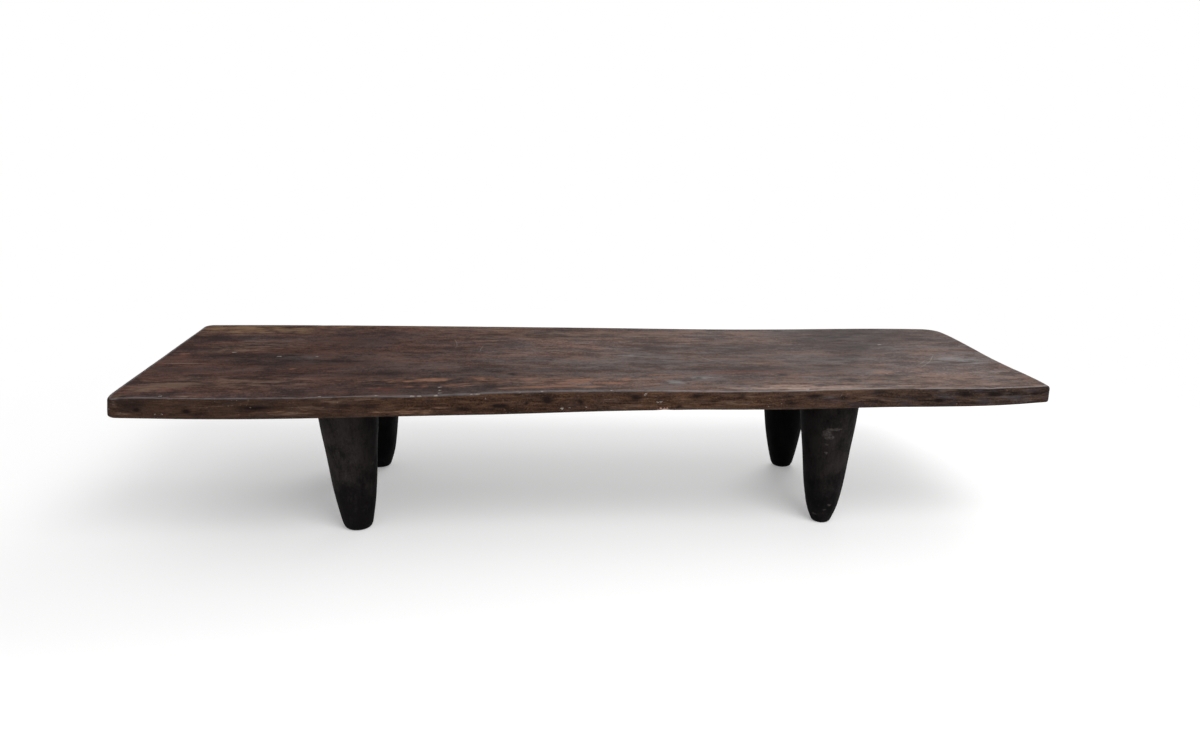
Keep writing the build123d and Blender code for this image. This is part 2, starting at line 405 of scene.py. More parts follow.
SIDE_REACH = (  # x, how far in over the upper arris the side's colour goes
    (-1.05, 0.005), (-0.5, 0.005), (-0.42, 0.0026), (-0.3, 0.0026), (-0.22, 0.0042), (1.05, 0.0046),
)
HIGHLIGHT_LINE = (  # x, width of the painted highlight, a greyed line along the upper arris
    (-1.05, 0.0048), (-0.55, 0.0044), (-0.38, 0.005), (-0.1, 0.007), (0.22, 0.0055), (0.4, 0.0036),
    (1.05, 0.0036),
)
HIGHLIGHT_CORNER = (-1.052, -0.352, 0.022, 0.7)  # x, y, reach, share: where the painted highlight fades out
FRONT_LEAN = (  # x, how far the top of the front side leans in
    (-1.05, 0), (-0.95, 0.006), (-0.86, 0.001), (-0.65, 0), (-0.5, 0.003), (-0.37, 0.0005), (-0.2, 0.008),
    (-0.05, 0.01), (0.1, 0.01), (0.26, 0.0045), (0.4, 0.0005), (0.55, 0.002), (0.7, 0.005), (0.85, 0.0015),
    (1.05, 0.001),
)
LEAN_REACH = 1.06  # along X
LEAN_REACH_IN = 0.05  # from the rim
LEAN_SAMPLES = 849
LEAN_BLUR = 41  # samples


def rim_distance(places, ring):
    """Distance in plan from each vertex to the slab's outline."""
    around = mathutils.kdtree.KDTree(len(ring))
    for number, point in enumerate(ring):
        around.insert((*point, 0), number)
    around.balance()
    return np.array([around.find((place[0], place[1], 0))[2] for place in places])


def leg_clear(places):
    """0 at a leg's seat and 1 well away from it."""
    clear = np.ones(len(places))
    for place in LEG_PLACES:
        low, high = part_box("wedge_" + place)
        centre = (low + high) / 2
        away = np.hypot(places[:, 0] - centre.x, places[:, 1] - centre.y)
        clear = np.minimum(clear, smooth_step(away, SEAT_CLEAR, SEAT_CLEAR + SEAT_FADE))
    return clear


def dents(places):
    """How deep the knocks are at each vertex."""
    depth = np.zeros(len(places))
    for x, y, z, radius, deepest in DENTS:
        away = np.linalg.norm(places - np.array([x, y, z]), axis=1)
        depth = np.maximum(depth, deepest * bell(away, radius))
    return depth


def top_hollows(places, from_rim):
    """How far the top is worn down: long hollows with faint ripples along the grain."""
    broad = (1 + rough_bumps(places, HOLLOW_SIZE, seed=11)) / 2
    ripples = (1 + bumps(places, RIPPLE_SIZE, seed=21)) / 2
    depth = TOP_HOLLOWS * smooth_step(broad, *HOLLOW_LEVELS) + TOP_RIPPLES * ripples
    return smooth_step(from_rim, *HOLLOWS_FROM_RIM) * depth


def front_lean(places, from_rim, foot):
    """How far back each vertex of the front side and its rim is set, as that side isn't upright."""
    run = np.linspace(-LEAN_REACH, LEAN_REACH, LEAN_SAMPLES)
    weights = np.hanning(LEAN_BLUR)
    lean = np.pad(along_line(FRONT_LEAN, run), LEAN_BLUR // 2, mode="edge")
    lean = np.convolve(lean, weights / weights.sum(), mode="valid")
    height = np.clip((places[:, 2] - foot) / (TOP - foot), 0, 1)
    near = (1 - smooth_step(from_rim, TOP_ARRIS, LEAN_REACH_IN)) * (places[:, 1] < FRONT_Y)
    return np.interp(places[:, 0], run, lean) * height * near


def rounding(radius, steps):
    """How far in and how far up a rounded edge is, from its level end to its upright one."""
    turns = [math.pi / 2 * (1 - step / steps) for step in range(steps + 1)]
    return [(radius * (1 - math.cos(turn)), radius * math.sin(turn)) for turn in turns]


def edge_rings(ring, inward, under):
    """Rings from the top's rim out over the upper arris, down the wall and in below the lower arris."""
    wall_top = np.full(len(ring), TOP - TOP_ARRIS)
    wall_foot = under + UNDERSIDE_ARRIS
    steps = [(inset, wall_top + rise) for inset, rise in rounding(TOP_ARRIS, TOP_ARRIS_RINGS)]
    steps += [(0, wall_top + (wall_foot - wall_top) * step / WALL_RINGS) for step in range(1, WALL_RINGS)]
    lower = rounding(UNDERSIDE_ARRIS, UNDERSIDE_ARRIS_RINGS)[::-1]
    steps += [(inset, wall_foot - drop) for inset, drop in lower]
    return [np.column_stack([ring + inward * inset, height]) for inset, height in steps]


def slab_mesh(ring, profile):
    """Places and faces of the closed plank: top, edge, and an underside with half as many cells."""
    inward = inward_normals(ring)
    rings = edge_rings(ring, inward, np.interp(ring[:, 0], *profile))
    half = (CELLS_ALONG // 2, CELLS_ACROSS // 2)
    top = coons(rings[0][:, :2], CELLS_ALONG, CELLS_ACROSS)
    below = coons((rings[-1][:, :2] + inward * UNDERSIDE_RIM)[::2], *half)
    top_places = np.column_stack([top, np.full(len(top), TOP)])
    below_places = np.column_stack([below, np.interp(below[:, 0], *profile)])

    numbers = [ring_places(CELLS_ALONG, CELLS_ACROSS)]
    for step in range(len(rings) - 1):
        numbers.append(len(top) + step * len(ring) + np.arange(len(ring)))
    first_below = len(top) + (len(rings) - 1) * len(ring)
    faces = grid_faces(0, CELLS_ALONG, CELLS_ACROSS, False)
    for upper, lower in zip(numbers, numbers[1:]):
        faces += band_faces(upper, lower)
    faces += halving_faces(numbers[-1], first_below + ring_places(*half))
    faces += grid_faces(first_below, *half, True)
    return np.vstack([top_places, *rings[1:], below_places]), faces


def slab_zones(places, normals, from_rim, foot):
    """Shares from 0 to 1 that say which part of the surface each vertex is on."""
    x, y, height = places.T
    top = smooth_step(height, TOP - TOP_ARRIS, TOP - TOP_BLUR)
    underside = 1 - smooth_step(height, foot + UNDERSIDE_BLUR, foot + UNDERSIDE_ARRIS)
    wall = 1 - np.maximum(top, underside)
    from_side = from_rim - along_line(SIDE_REACH, x)
    side = (1 - smooth_step(from_side, -SIDE_BLUR, SIDE_BLUR)) * (1 - underside)
    line = along_line(HIGHLIGHT_LINE, x) * (1 + LINE_WAVER * bumps(places, LINE_WAVER_SIZE, seed=91))
    # arris: where the painted highlight, a greyed line, lies along the upper arris
    arris = smooth_step(from_side, *LINE_FROM_SIDE) * (1 - smooth_step(from_side, line, line + LINE_BLUR))
    corner_x, corner_y, reach, share = HIGHLIGHT_CORNER
    arris *= smooth_step(normals[:, 2], *FACING_UP)
    arris *= 1 - share * bell(np.hypot(x - corner_x, y - corner_y), reach)
    end = wall * smooth_step(np.abs(normals[:, 0]), *FACING_ENDS)
    return SimpleNamespace(top=top, underside=underside, wall=wall, side=side, arris=arris, end=end)


def slab_cuts(places, normals, from_rim, zones):
    """How deep the hollows, the adze's cuts, the wear and the knocks are at each vertex."""
    cut = zones.top * top_hollows(places, from_rim)
    cut += zones.wall * WALL_SCALLOPS * (1 - scallops(places, WALL_SCALLOP_SIZE, seed=31))
    inside = leg_clear(places) * smooth_step(from_rim, *SCALLOPS_FROM_RIM)
    below = 1 - scallops(places, UNDERSIDE_SCALLOP_SIZE, seed=41)
    cut += zones.underside * inside * UNDERSIDE_SCALLOPS * below
    worn = smooth_step(normals[:, 2], *FACING_UP) * (1 - smooth_step(from_rim, *ARRIS_FROM_RIM))
    wear = bumps(places, ARRIS_WEAR_SIZE, seed=51)
    cut += worn * ARRIS_WEAR * smooth_step(wear, *ARRIS_WEAR_LEVELS)
    return cut + dents(places)


def build_slab():
    """The plank, with its wear cut in and the attributes that its material reads."""
    ring = rim_ring(slab_outline())
    profile = underside_profile()
    places, faces = slab_mesh(ring, profile)
    slab = make_object("slab_wood", places, faces)
    normals = np.array([vertex.normal for vertex in slab.data.vertices])
    foot = np.interp(places[:, 0], *profile)
    from_rim = rim_distance(places, ring)
    zones = slab_zones(places, normals, from_rim, foot)
    moved = places - normals * slab_cuts(places, normals, from_rim, zones)[:, None]
    moved[:, 1] += front_lean(places, from_rim, foot)
    moved[:, 2] = np.minimum(moved[:, 2], TOP)
    move_vertices(slab, moved)
    add_attribute(slab, "on_side", zones.side)
    add_attribute(slab, "on_end", zones.end)
    add_attribute(slab, "on_underside", zones.underside)
    add_attribute(slab, "arris", zones.arris)
    paint_slab(slab, places, zones)
    return slab


# ================= stains, wear, painted shadow and painted sheen on the slab ===
# Each is x, y, half length, half width, strength: a soft-edged patch drawn out along the grain.
# sap is pale olive sapwood along the far edge, tan a lighter brown, orange where the dark finish has worn
# off, chalk a pale bluish bloom, pink the bare, dusty wood behind the front edge, red a reddish brown, dark
# the knots, burns and heartwood and two broad darker patches towards the foot end, and grey a dry, dusty
# patina, which on the foot end's top is partly painted sheen.
TOP_STAINS = {
    "sap": (
        (-0.9, 0.31, 0.22, 0.06, 0.65), (-0.35, 0.3, 0.45, 0.04, 0.35), (-1, 0.31, 0.05, 0.032, 0.9),
        (-0.94, 0.325, 0.05, 0.026, 0.9), (-0.945, 0.272, 0.03, 0.018, 0.7), (-0.86, 0.33, 0.07, 0.016, 0.6),
        (-0.757, 0.254, 0.034, 0.015, 0.8), (-0.69, 0.236, 0.026, 0.018, 0.5),
        (-0.72, 0.33, 0.08, 0.012, 0.6), (-0.6, 0.322, 0.11, 0.012, 0.4), (-0.28, 0.295, 0.14, 0.014, 0.4),
        (-0.22, 0.262, 0.07, 0.012, 0.5), (0.01, 0.28, 0.12, 0.012, 0.25), (-1.02, 0.24, 0.03, 0.016, 0.4),
    ),
    "tan": (
        (-1.034, -0.325, 0.02, 0.016, 0.7), (1.02, -0.31, 0.014, 0.04, 0.6),
        (0.86, -0.338, 0.03, 0.006, 0.6), (-0.85, -0.235, 0.22, 0.06, 0.48), (0, 0.2, 0.38, 0.08, 0.5),
        (-0.85, 0.11, 0.2, 0.05, 0.35), (0.85, -0.27, 0.26, 0.06, 0.38), (-0.06, 0.02, 0.16, 0.05, 0.25),
        (-0.93, -0.245, 0.075, 0.026, 0.95), (-0.995, -0.275, 0.034, 0.015, 1),
        (-0.74, -0.225, 0.045, 0.018, 0.8), (-0.66, -0.25, 0.04, 0.014, 0.5), (-0.9, 0.06, 0.11, 0.02, 0.6),
        (-0.06, 0.014, 0.06, 0.018, 0.45), (0.01, 0.145, 0.06, 0.022, 0.55), (0.09, 0.21, 0.1, 0.02, 0.4),
        (-0.15, 0.235, 0.12, 0.018, 0.35), (0.17, 0.15, 0.08, 0.014, 0.35),
        (0.91, -0.285, 0.055, 0.012, 0.6), (0.967, -0.237, 0.025, 0.012, 0.6),
        (0.24, -0.305, 0.12, 0.008, 0.4), (-0.56, -0.27, 0.08, 0.01, 0.3), (0.64, -0.31, 0.12, 0.008, 0.35),
        (-0.23, 0.18, 0.05, 0.012, 0.3), (0.56, -0.25, 0.06, 0.016, 0.35), (-0.48, 0.02, 0.12, 0.02, 0.2),
    ),
    "orange": (
        (-0.13, -0.25, 0.3, 0.05, 0.44), (0.45, -0.29, 0.42, 0.05, 0.26), (-0.45, -0.25, 0.16, 0.05, 0.3),
        (0.79, 0.19, 0.22, 0.08, 0.2), (-0.37, -0.228, 0.055, 0.013, 1.2),
        (-0.455, -0.232, 0.05, 0.022, 0.65), (-0.25, -0.222, 0.034, 0.016, 0.6),
        (-0.085, -0.294, 0.12, 0.009, 1.2), (-0.17, -0.299, 0.06, 0.006, 1),
        (-0.035, -0.24, 0.07, 0.022, 0.65), (0.03, -0.268, 0.05, 0.012, 0.6),
        (0.08, -0.24, 0.014, 0.026, 0.8), (0.15, -0.205, 0.06, 0.012, 0.65),
        (0.11, -0.285, 0.06, 0.01, 0.55), (-0.708, -0.124, 0.014, 0.012, 0.6),
        (-1.002, 0.036, 0.018, 0.026, 0.6), (0.7, -0.208, 0.036, 0.008, 0.85),
        (0.823, -0.226, 0.03, 0.009, 0.72), (0.6, -0.205, 0.04, 0.008, 0.5), (0.74, -0.21, 0.07, 0.007, 0.4),
        (0.47, -0.323, 0.1, 0.007, 0.6), (0.4, -0.29, 0.06, 0.012, 0.3), (-0.3, -0.262, 0.06, 0.01, 0.45),
        (0.25, -0.262, 0.02, 0.012, 0.4), (0.93, -0.222, 0.06, 0.006, 0.4),
    ),
    "chalk": (
        (0.188, -0.268, 0.022, 0.014, 1), (0.256, -0.238, 0.026, 0.009, 1), (0.15, -0.272, 0.014, 0.01, 0.5),
        (0.95, -0.1, 0.062, 0.03, 0.8), (0.985, -0.14, 0.034, 0.018, 0.6), (0.1, -0.028, 0.07, 0.01, 0.45),
        (-1.04, -0.33, 0.014, 0.014, 0.45), (0.32, -0.3, 0.05, 0.01, 0.4), (-0.085, 0.012, 0.05, 0.01, 0.3),
    ),
    "pink": (
        (0.47, -0.331, 0.15, 0.013, 1.2), (0.44, -0.314, 0.06, 0.009, 0.8), (0.57, -0.325, 0.05, 0.009, 0.8),
        (0.33, -0.325, 0.05, 0.008, 0.5), (0.69, -0.325, 0.06, 0.008, 0.45), (0.9, -0.32, 0.08, 0.008, 0.4),
        (-0.9, -0.335, 0.06, 0.006, 0.3),
    ),
    "red": (
        (-0.45, -0.29, 0.25, 0.05, 0.25), (0.42, -0.2, 0.3, 0.04, 0.25), (-1, -0.1, 0.15, 0.2, 0.2),
        (-0.465, -0.303, 0.032, 0.014, 0.8), (-0.61, -0.18, 0.06, 0.012, 0.35),
        (0.39, -0.19, 0.11, 0.012, 0.9), (0.31, -0.2, 0.06, 0.01, 0.6), (-0.25, -0.205, 0.04, 0.01, 0.45),
        (0.693, 0.088, 0.02, 0.012, 0.5), (0.655, 0.046, 0.026, 0.012, 0.5), (-1, 0.028, 0.02, 0.022, 0.5),
        (0.17, -0.198, 0.04, 0.01, 0.5), (0.52, -0.23, 0.05, 0.014, 0.3), (0.18, 0.232, 0.1, 0.01, 0.3),
        (-0.43, -0.285, 0.05, 0.01, 0.4),
    ),
    "dark": (
        (0.8, 0.18, 0.22, 0.08, 0.5), (0.69, 0, 0.08, 0.07, 0.15), (-0.4, -0.275, 0.012, 0.012, 0.8),
        (-0.487, -0.235, 0.014, 0.016, 0.6), (-0.187, -0.187, 0.012, 0.012, 0.9),
        (-0.313, -0.173, 0.016, 0.008, 0.5), (-0.233, -0.287, 0.014, 0.014, 0.5),
        (-0.05, 0.25, 0.016, 0.014, 0.7), (-0.147, 0.2, 0.012, 0.018, 0.6), (-0.03, 0.186, 0.12, 0.004, 0.6),
        (0.453, -0.222, 0.013, 0.011, 1), (0.606, -0.266, 0.014, 0.024, 0.6),
        (0.718, -0.246, 0.022, 0.018, 0.6), (0.4, -0.165, 0.12, 0.018, 0.6),
        (-0.99, 0.215, 0.05, 0.034, 0.6), (-0.87, 0.012, 0.11, 0.026, 0.6), (-0.98, -0.12, 0.06, 0.026, 0.5),
        (-0.64, -0.07, 0.14, 0.04, 0.45), (-0.52, -0.168, 0.09, 0.024, 0.6), (-0.6, 0.15, 0.1, 0.06, 0.4),
        (0.25, -0.24, 0.009, 0.009, 1), (0.64, -0.16, 0.08, 0.012, 0.4), (-0.75, -0.17, 0.11, 0.016, 0.4),
        (0.42, 0.05, 0.12, 0.05, 0.3), (-0.25, 0.215, 0.06, 0.008, 0.4), (0.2, 0.19, 0.03, 0.008, 0.4),
        (0.35, -0.33, 0.004, 0.006, 0.5), (-0.94, -0.32, 0.07, 0.01, 0.4), (-0.8, 0.2, 0.08, 0.008, 0.4),
    ),
    "grey": (
        (-0.83, 0.17, 0.11, 0.045, 0.45), (-0.16, 0.06, 0.18, 0.07, 0.45), (-0.12, -0.09, 0.17, 0.06, 0.5),
        (0.15, -0.03, 0.11, 0.034, 0.85), (0.25, -0.232, 0.026, 0.02, 1), (0.19, -0.276, 0.02, 0.016, 0.9),
        (0.18, -0.08, 0.24, 0.09, 0.55), (0.9, -0.13, 0.12, 0.04, 0.6), (0.98, -0.1, 0.05, 0.026, 0.8),
        (0.88, 0, 0.12, 0.06, 0.4), (0.96, -0.02, 0.07, 0.06, 0.5), (0.6, -0.08, 0.16, 0.06, 0.4),
        (0.33, 0.06, 0.16, 0.06, 0.45), (-0.7, -0.02, 0.1, 0.04, 0.3), (0.87, -0.19, 0.06, 0.016, 0.4),
        (-0.62, 0, 0.08, 0.03, 0.25), (0.66, -0.27, 0.1, 0.016, 0.4),
    ),
}
# Each is x, z, half length, half height, strength, on the front side.
FRONT_STAINS = {
    "dark": (
        (-0.982, 0.348, 0.009, 0.0045, 1), (-0.88, 0.345, 0.01, 0.0055, 1.3),
        (-0.995, 0.356, 0.03, 0.012, 0.5), (-0.733, 0.351, 0.038, 0.005, 1),
        (-0.86, 0.339, 0.03, 0.005, 0.6), (-0.545, 0.352, 0.018, 0.006, 0.7),
        (-0.497, 0.351, 0.028, 0.006, 0.6), (-0.43, 0.357, 0.026, 0.005, 0.6),
        (-0.292, 0.339, 0.02, 0.005, 0.8), (-0.217, 0.344, 0.019, 0.0055, 1.3),
        (-0.108, 0.353, 0.014, 0.008, 1.1), (-0.155, 0.348, 0.006, 0.005, 1),
        (-0.037, 0.348, 0.007, 0.0045, 1), (0.086, 0.358, 0.014, 0.009, 0.9),
        (0.185, 0.339, 0.007, 0.004, 1), (0.222, 0.361, 0.017, 0.0045, 0.9),
        (0.325, 0.362, 0.011, 0.005, 0.8), (0.488, 0.358, 0.017, 0.0045, 1.1),
        (0.433, 0.345, 0.011, 0.006, 0.7), (0.56, 0.352, 0.011, 0.006, 0.8),
        (0.65, 0.364, 0.025, 0.005, 0.8), (0.783, 0.343, 0.013, 0.005, 1.3),
        (0.846, 0.357, 0.021, 0.006, 0.9), (0.915, 0.357, 0.019, 0.005, 1.4),
        (0.958, 0.357, 0.013, 0.0045, 0.9), (1.012, 0.356, 0.013, 0.0045, 1),
        (0.74, 0.352, 0.026, 0.01, 0.5),
    ),
    "tan": (
        (-1.018, 0.338, 0.018, 0.004, 0.8), (-1.036, 0.358, 0.016, 0.008, 0.6),
        (0.2, 0.349, 0.14, 0.012, 0.35), (-0.66, 0.337, 0.06, 0.005, 0.7), (-0.565, 0.365, 0.04, 0.006, 0.7),
        (-0.63, 0.35, 0.05, 0.008, 0.4), (-0.4, 0.338, 0.1, 0.006, 0.4), (-0.505, 0.366, 0.03, 0.005, 0.5),
        (0.183, 0.354, 0.026, 0.008, 0.6), (0.3, 0.348, 0.05, 0.01, 0.6), (0.34, 0.36, 0.02, 0.006, 0.5),
        (0.62, 0.352, 0.022, 0.006, 0.7), (0.68, 0.345, 0.034, 0.005, 0.6), (0.805, 0.367, 0.02, 0.003, 0.6),
        (0.06, 0.34, 0.05, 0.006, 0.5), (-0.82, 0.354, 0.05, 0.006, 0.35), (0.04, 0.352, 0.024, 0.006, 0.4),
        (-0.3, 0.352, 0.04, 0.006, 0.35), (0.445, 0.362, 0.024, 0.004, 0.4),
        (0.865, 0.346, 0.026, 0.004, 0.4),
    ),
    "orange": (
        (-0.42, 0.336, 0.07, 0.004, 0.5), (0.295, 0.352, 0.034, 0.005, 0.5),
        (0.152, 0.346, 0.012, 0.006, 0.4), (-0.34, 0.345, 0.04, 0.006, 0.4), (0.655, 0.35, 0.03, 0.005, 0.5),
        (-0.7, 0.342, 0.04, 0.004, 0.4),
    ),
    "red": (
        (-0.1, 0.338, 0.03, 0.004, 0.3), (0.52, 0.345, 0.03, 0.006, 0.3),
    ),
    "grey": (
        (0.96, 0.348, 0.08, 0.018, 0.5), (0.78, 0.356, 0.04, 0.01, 0.3), (0.53, 0.352, 0.06, 0.01, 0.3),
    ),
    "chalk": (
        (-1.038, 0.362, 0.014, 0.006, 0.5), (-1.046, 0.345, 0.006, 0.01, 0.35),
    ),
}
# Each is x, y, half length, half width, gain: broad parts of the top that are darker or lighter, partly the
# wood's own tone and partly painted shadow round the places where bowls stood on the top.
TOP_TONES_AND_SHADOWS = (
    (-0.43, -0.26, 0.22, 0.1, -0.36), (-0.74, 0, 0.16, 0.09, -0.28), (-0.25, -0.16, 0.16, 0.07, -0.18),
    (0.05, 0.14, 0.26, 0.1, 0.26), (-0.25, 0.18, 0.14, 0.1, 0.24), (-0.92, 0.26, 0.16, 0.07, 0.26),
    (0.76, 0.17, 0.2, 0.1, -0.54), (0.42, -0.06, 0.22, 0.1, -0.16), (0.93, -0.08, 0.12, 0.08, 0.14),
    (0.58, -0.17, 0.1, 0.05, -0.3), (0.85, -0.22, 0.16, 0.06, 0.56), (0.46, -0.325, 0.14, 0.02, 0.24),
    (0.03, -0.27, 0.18, 0.05, 0.1), (-0.85, -0.25, 0.16, 0.05, 0.2), (-0.45, -0.335, 0.3, 0.012, -0.2),
    (0.69, 0, 0.09, 0.12, -0.3), (-0.21, -0.26, 0.07, 0.035, -0.22), (-0.06, 0.02, 0.16, 0.08, 0.2),
    (-0.76, -0.335, 0.12, 0.016, 0.28), (0.37, -0.265, 0.1, 0.035, -0.26), (-1, 0.12, 0.06, 0.1, 0.2),
    (0.86, -0.325, 0.16, 0.02, 0.22), (-0.1, -0.318, 0.24, 0.012, -0.22), (-0.92, 0.05, 0.09, 0.025, 0.4),
    (-0.08, 0.135, 0.06, 0.025, 0.18), (-0.08, 0.005, 0.08, 0.018, 0.32),
    (-0.08, -0.155, 0.09, 0.024, -0.28), (-0.09, -0.278, 0.1, 0.014, 0.32), (0.06, 0.13, 0.07, 0.03, 0.26),
    (0.03, -0.262, 0.08, 0.03, 0.28), (0.17, -0.02, 0.05, 0.12, -0.24), (0.96, -0.106, 0.06, 0.024, 0.34),
)


def patch_away(along, other, x, across, half_length, half_width):
    """The square of how far each vertex is from a patch's middle, counted in the patch's half sizes."""
    return ((along - x) / half_length) ** 2 + ((other - across) / half_width) ** 2


def stain(along, other, strokes):
    """The strongest of several soft patches at each vertex."""
    level = np.zeros(len(along))
    for *patch, strength in strokes:
        level = np.maximum(level, strength * np.exp(-(patch_away(along, other, *patch) ** STAIN_SHARPNESS)))
    return level


def paint_slab(slab, places, zones):
    """Puts the stains and the broad shades, partly painted shadow, on the slab's vertices."""
    x, y, _ = places.T
    drifted = []
    for level, (reach, size, seed) in zip(places.T, STAIN_DRIFTS):
        drifted.append(level + reach * rough_bumps(places, size, seed))
    back, out = FRONT_STAINED
    front = zones.side * (y < back) * (np.abs(x) < out)
    for name, strokes in TOP_STAINS.items():
        level = zones.top * stain(drifted[0], drifted[1], strokes)
        level += front * stain(drifted[0], drifted[2], FRONT_STAINS.get(name, ()))
        add_attribute(slab, name, level)
    shade = np.ones(len(places))
    for *patch, gain in TOP_TONES_AND_SHADOWS:
        shade += zones.top * gain * np.exp(-patch_away(x, y, *patch))
    add_attribute(slab, "shade", shade)


# ================= the legs =================
def build_leg(place):
    """One tapering leg: shaft, rounded foot and flat sole, with the adze's long facets cut into it."""
    node = "leg_" + place
    rows = leg_rows(node)
    height, x, y, radius = rows[0]
    sole = [(height, x, y, radius * share) for share in SOLE_SHARES]
    height, x, y, radius = rows[-1]
    lid = [(height + LEG_SUNK, x, y, radius * share) for share in LID_SHARES]
    rows = np.array([*sole, *rows, *lid])
    turn = np.linspace(0, 2 * math.pi, LEG_SEGMENTS, endpoint=False)
    circle = np.column_stack([np.cos(turn), np.sin(turn), np.zeros(LEG_SEGMENTS)])
    places = (rows[:, None, [1, 2, 0]] + rows[:, None, 3:] * circle).reshape(-1, 3)
    numbers = np.arange(len(places)).reshape(len(rows), LEG_SEGMENTS)
    faces = []
    for lower, upper in zip(numbers, numbers[1:]):
        faces += band_faces(upper, lower)
    faces += [numbers[0][::-1].tolist(), numbers[-1].tolist()]
    leg = make_object(node + "_wood", places, faces)

    seed = LEG_SEED + LEG_SEED_STEP * LEG_PLACES.index(place)
    level = places[:, 2]
    outward = np.tile(circle, (len(rows), 1))
    outward[: len(SOLE_SHARES) * LEG_SEGMENTS] = 0
    outward[(1 - len(LID_SHARES)) * LEG_SEGMENTS :] = 0
    facets = scallops(places * FACET_SQUEEZE, FACET_SIZE, seed)
    grain = (1 + bumps(places, LEG_GRAIN_SIZE, seed + 8)) / 2
    cut = smooth_step(level, *CUTS_FROM) * (LEG_FACETS * (1 - facets) + LEG_GRAIN * grain)
    wear, worn_to = FOOT_WEAR[place]
    cut += wear * np.clip(1 - level / worn_to, 0, 1) ** 2
    move_vertices(leg, places - outward * cut[:, None])
    return leg


# ================= materials =================
WHITE = (1, 1, 1, 1)
FAR_AWAY = 10.0


class Wiring:
    """Short calls for the nodes of a material or a world. Values that are sockets are linked, others set."""

    def __init__(self, owner):
        owner.use_nodes = True
        self.owner = owner
        self.tree = owner.node_tree
        self.tree.nodes.clear()

    def node(self, kind, values=(), **settings):
        made = self.tree.nodes.new(kind)
        for name, value in settings.items():
            setattr(made, name, value)
        for name, value in dict(values).items():
            if isinstance(value, bpy.types.NodeSocket):
                self.tree.links.new(value, made.inputs[name])
            else:
                made.inputs[name].default_value = value
        return made

    def place(self):
        return self.node("ShaderNodeTexCoord").outputs["Object"]

    def attribute(self, name):
        return self.node("ShaderNodeAttribute", attribute_name=name).outputs["Fac"]

    def math(self, operation, *values, clamp=False):
        made = self.node("ShaderNodeMath", enumerate(values), operation=operation, use_clamp=clamp)
        return made.outputs[0]

    def plus(self, first, second, clamp=False):
        return self.math("ADD", first, second, clamp=clamp)

    def times(self, first, second, clamp=False):
        return self.math("MULTIPLY", first, second, clamp=clamp)

    def rest(self, share):
        """What is left of 1."""
        return self.math("SUBTRACT", 1.0, share)

    def total(self, noise, weights, base=0.0):
        """The base and several noises, each times its weight."""
        for name, weight in weights.items():
            base = self.math("MULTIPLY_ADD", getattr(noise, name), weight, base)
        return base

    def vector(self, operation, *values):
        made = self.node("ShaderNodeVectorMath", enumerate(values), operation=operation)
        return made.outputs["Value" if operation in ("LENGTH", "DISTANCE", "DOT_PRODUCT") else "Vector"]

    def scale(self, color, factor):
        """A colour times a number."""
        values = {0: color, "Scale": factor}
        return self.node("ShaderNodeVectorMath", values, operation="SCALE").outputs["Vector"]

    def noise(self, place, sizes, detail, roughness=0.5, distortion=0.0, output="Fac"):
        """Noise whose features are that large along each axis, in metres."""
        place = self.vector("MULTIPLY", place, tuple(1 / size for size in sizes))
        values = {"Vector": place, "Scale": 1.0, "Detail": detail, "Roughness": roughness}
        return self.node("ShaderNodeTexNoise", {**values, "Distortion": distortion}).outputs[output]

    def noises(self, place, table):
        """Noises by name, from a table of their settings."""
        return {name: self.noise(place, *values) for name, values in table.items()}

    def sway(self, place, sizes, detail, reach):
        """The place, moved each way by up to half the reach, by a noise of those sizes."""
        drift = self.vector("SUBTRACT", self.noise(place, sizes, detail, output="Color"), (0.5,) * 3)
        return self.vector("ADD", place, self.vector("MULTIPLY", drift, reach))

    def spread(self, value, low, high, to_low=0.0, to_high=1.0):
        """value, taken from low..high to to_low..to_high along a smooth step, and held beyond them."""
        values = {"Value": value, "From Min": low, "From Max": high, "To Min": to_low, "To Max": to_high}
        return self.node("ShaderNodeMapRange", values, interpolation_type="SMOOTHSTEP").outputs[0]

    def mix(self, share, first, second, blend="MIX"):
        """From the first colour to the second or, with MULTIPLY, to the first tinted by the second."""
        values = {0: share}
        for number, color in ((6, first), (7, second)):
            values[number] = (*color, 1.0) if isinstance(color, tuple) else color
        settings = {"data_type": "RGBA", "blend_type": blend, "clamp_factor": True}
        return self.node("ShaderNodeMix", values, **settings).outputs[2]

    def parts(self, vector):
        made = self.node("ShaderNodeSeparateXYZ", {"Vector": vector})
        return made.outputs["X"], made.outputs["Y"], made.outputs["Z"]

    def bump(self, height, depth):
        return self.node("ShaderNodeBump", {"Height": height, "Distance": depth}).outputs[0]

    def shader(self, kind, **values):
        """A shader, with its sockets given by name."""
        return self.node(kind, {name.replace("_", " "): value for name, value in values.items()}).outputs[0]

    def blend(self, share, first, second):
        """From the first shader to the second."""
        return self.node("ShaderNodeMixShader", {0: share, 1: first, 2: second}).outputs[0]

    def finish(self, kind, shader):
        """The material or world, with the shader as its surface."""
        self.node(kind, {"Surface": shader})
        return self.owner

    def wood(self, color, roughness, shine, normal):
        """The material, with a plain wooden surface."""
        values = {"Base_Color": color, "Roughness": roughness, "Specular_IOR_Level": shine, "Normal": normal}
        return self.finish("ShaderNodeOutputMaterial", self.shader("ShaderNodeBsdfPrincipled", **values))
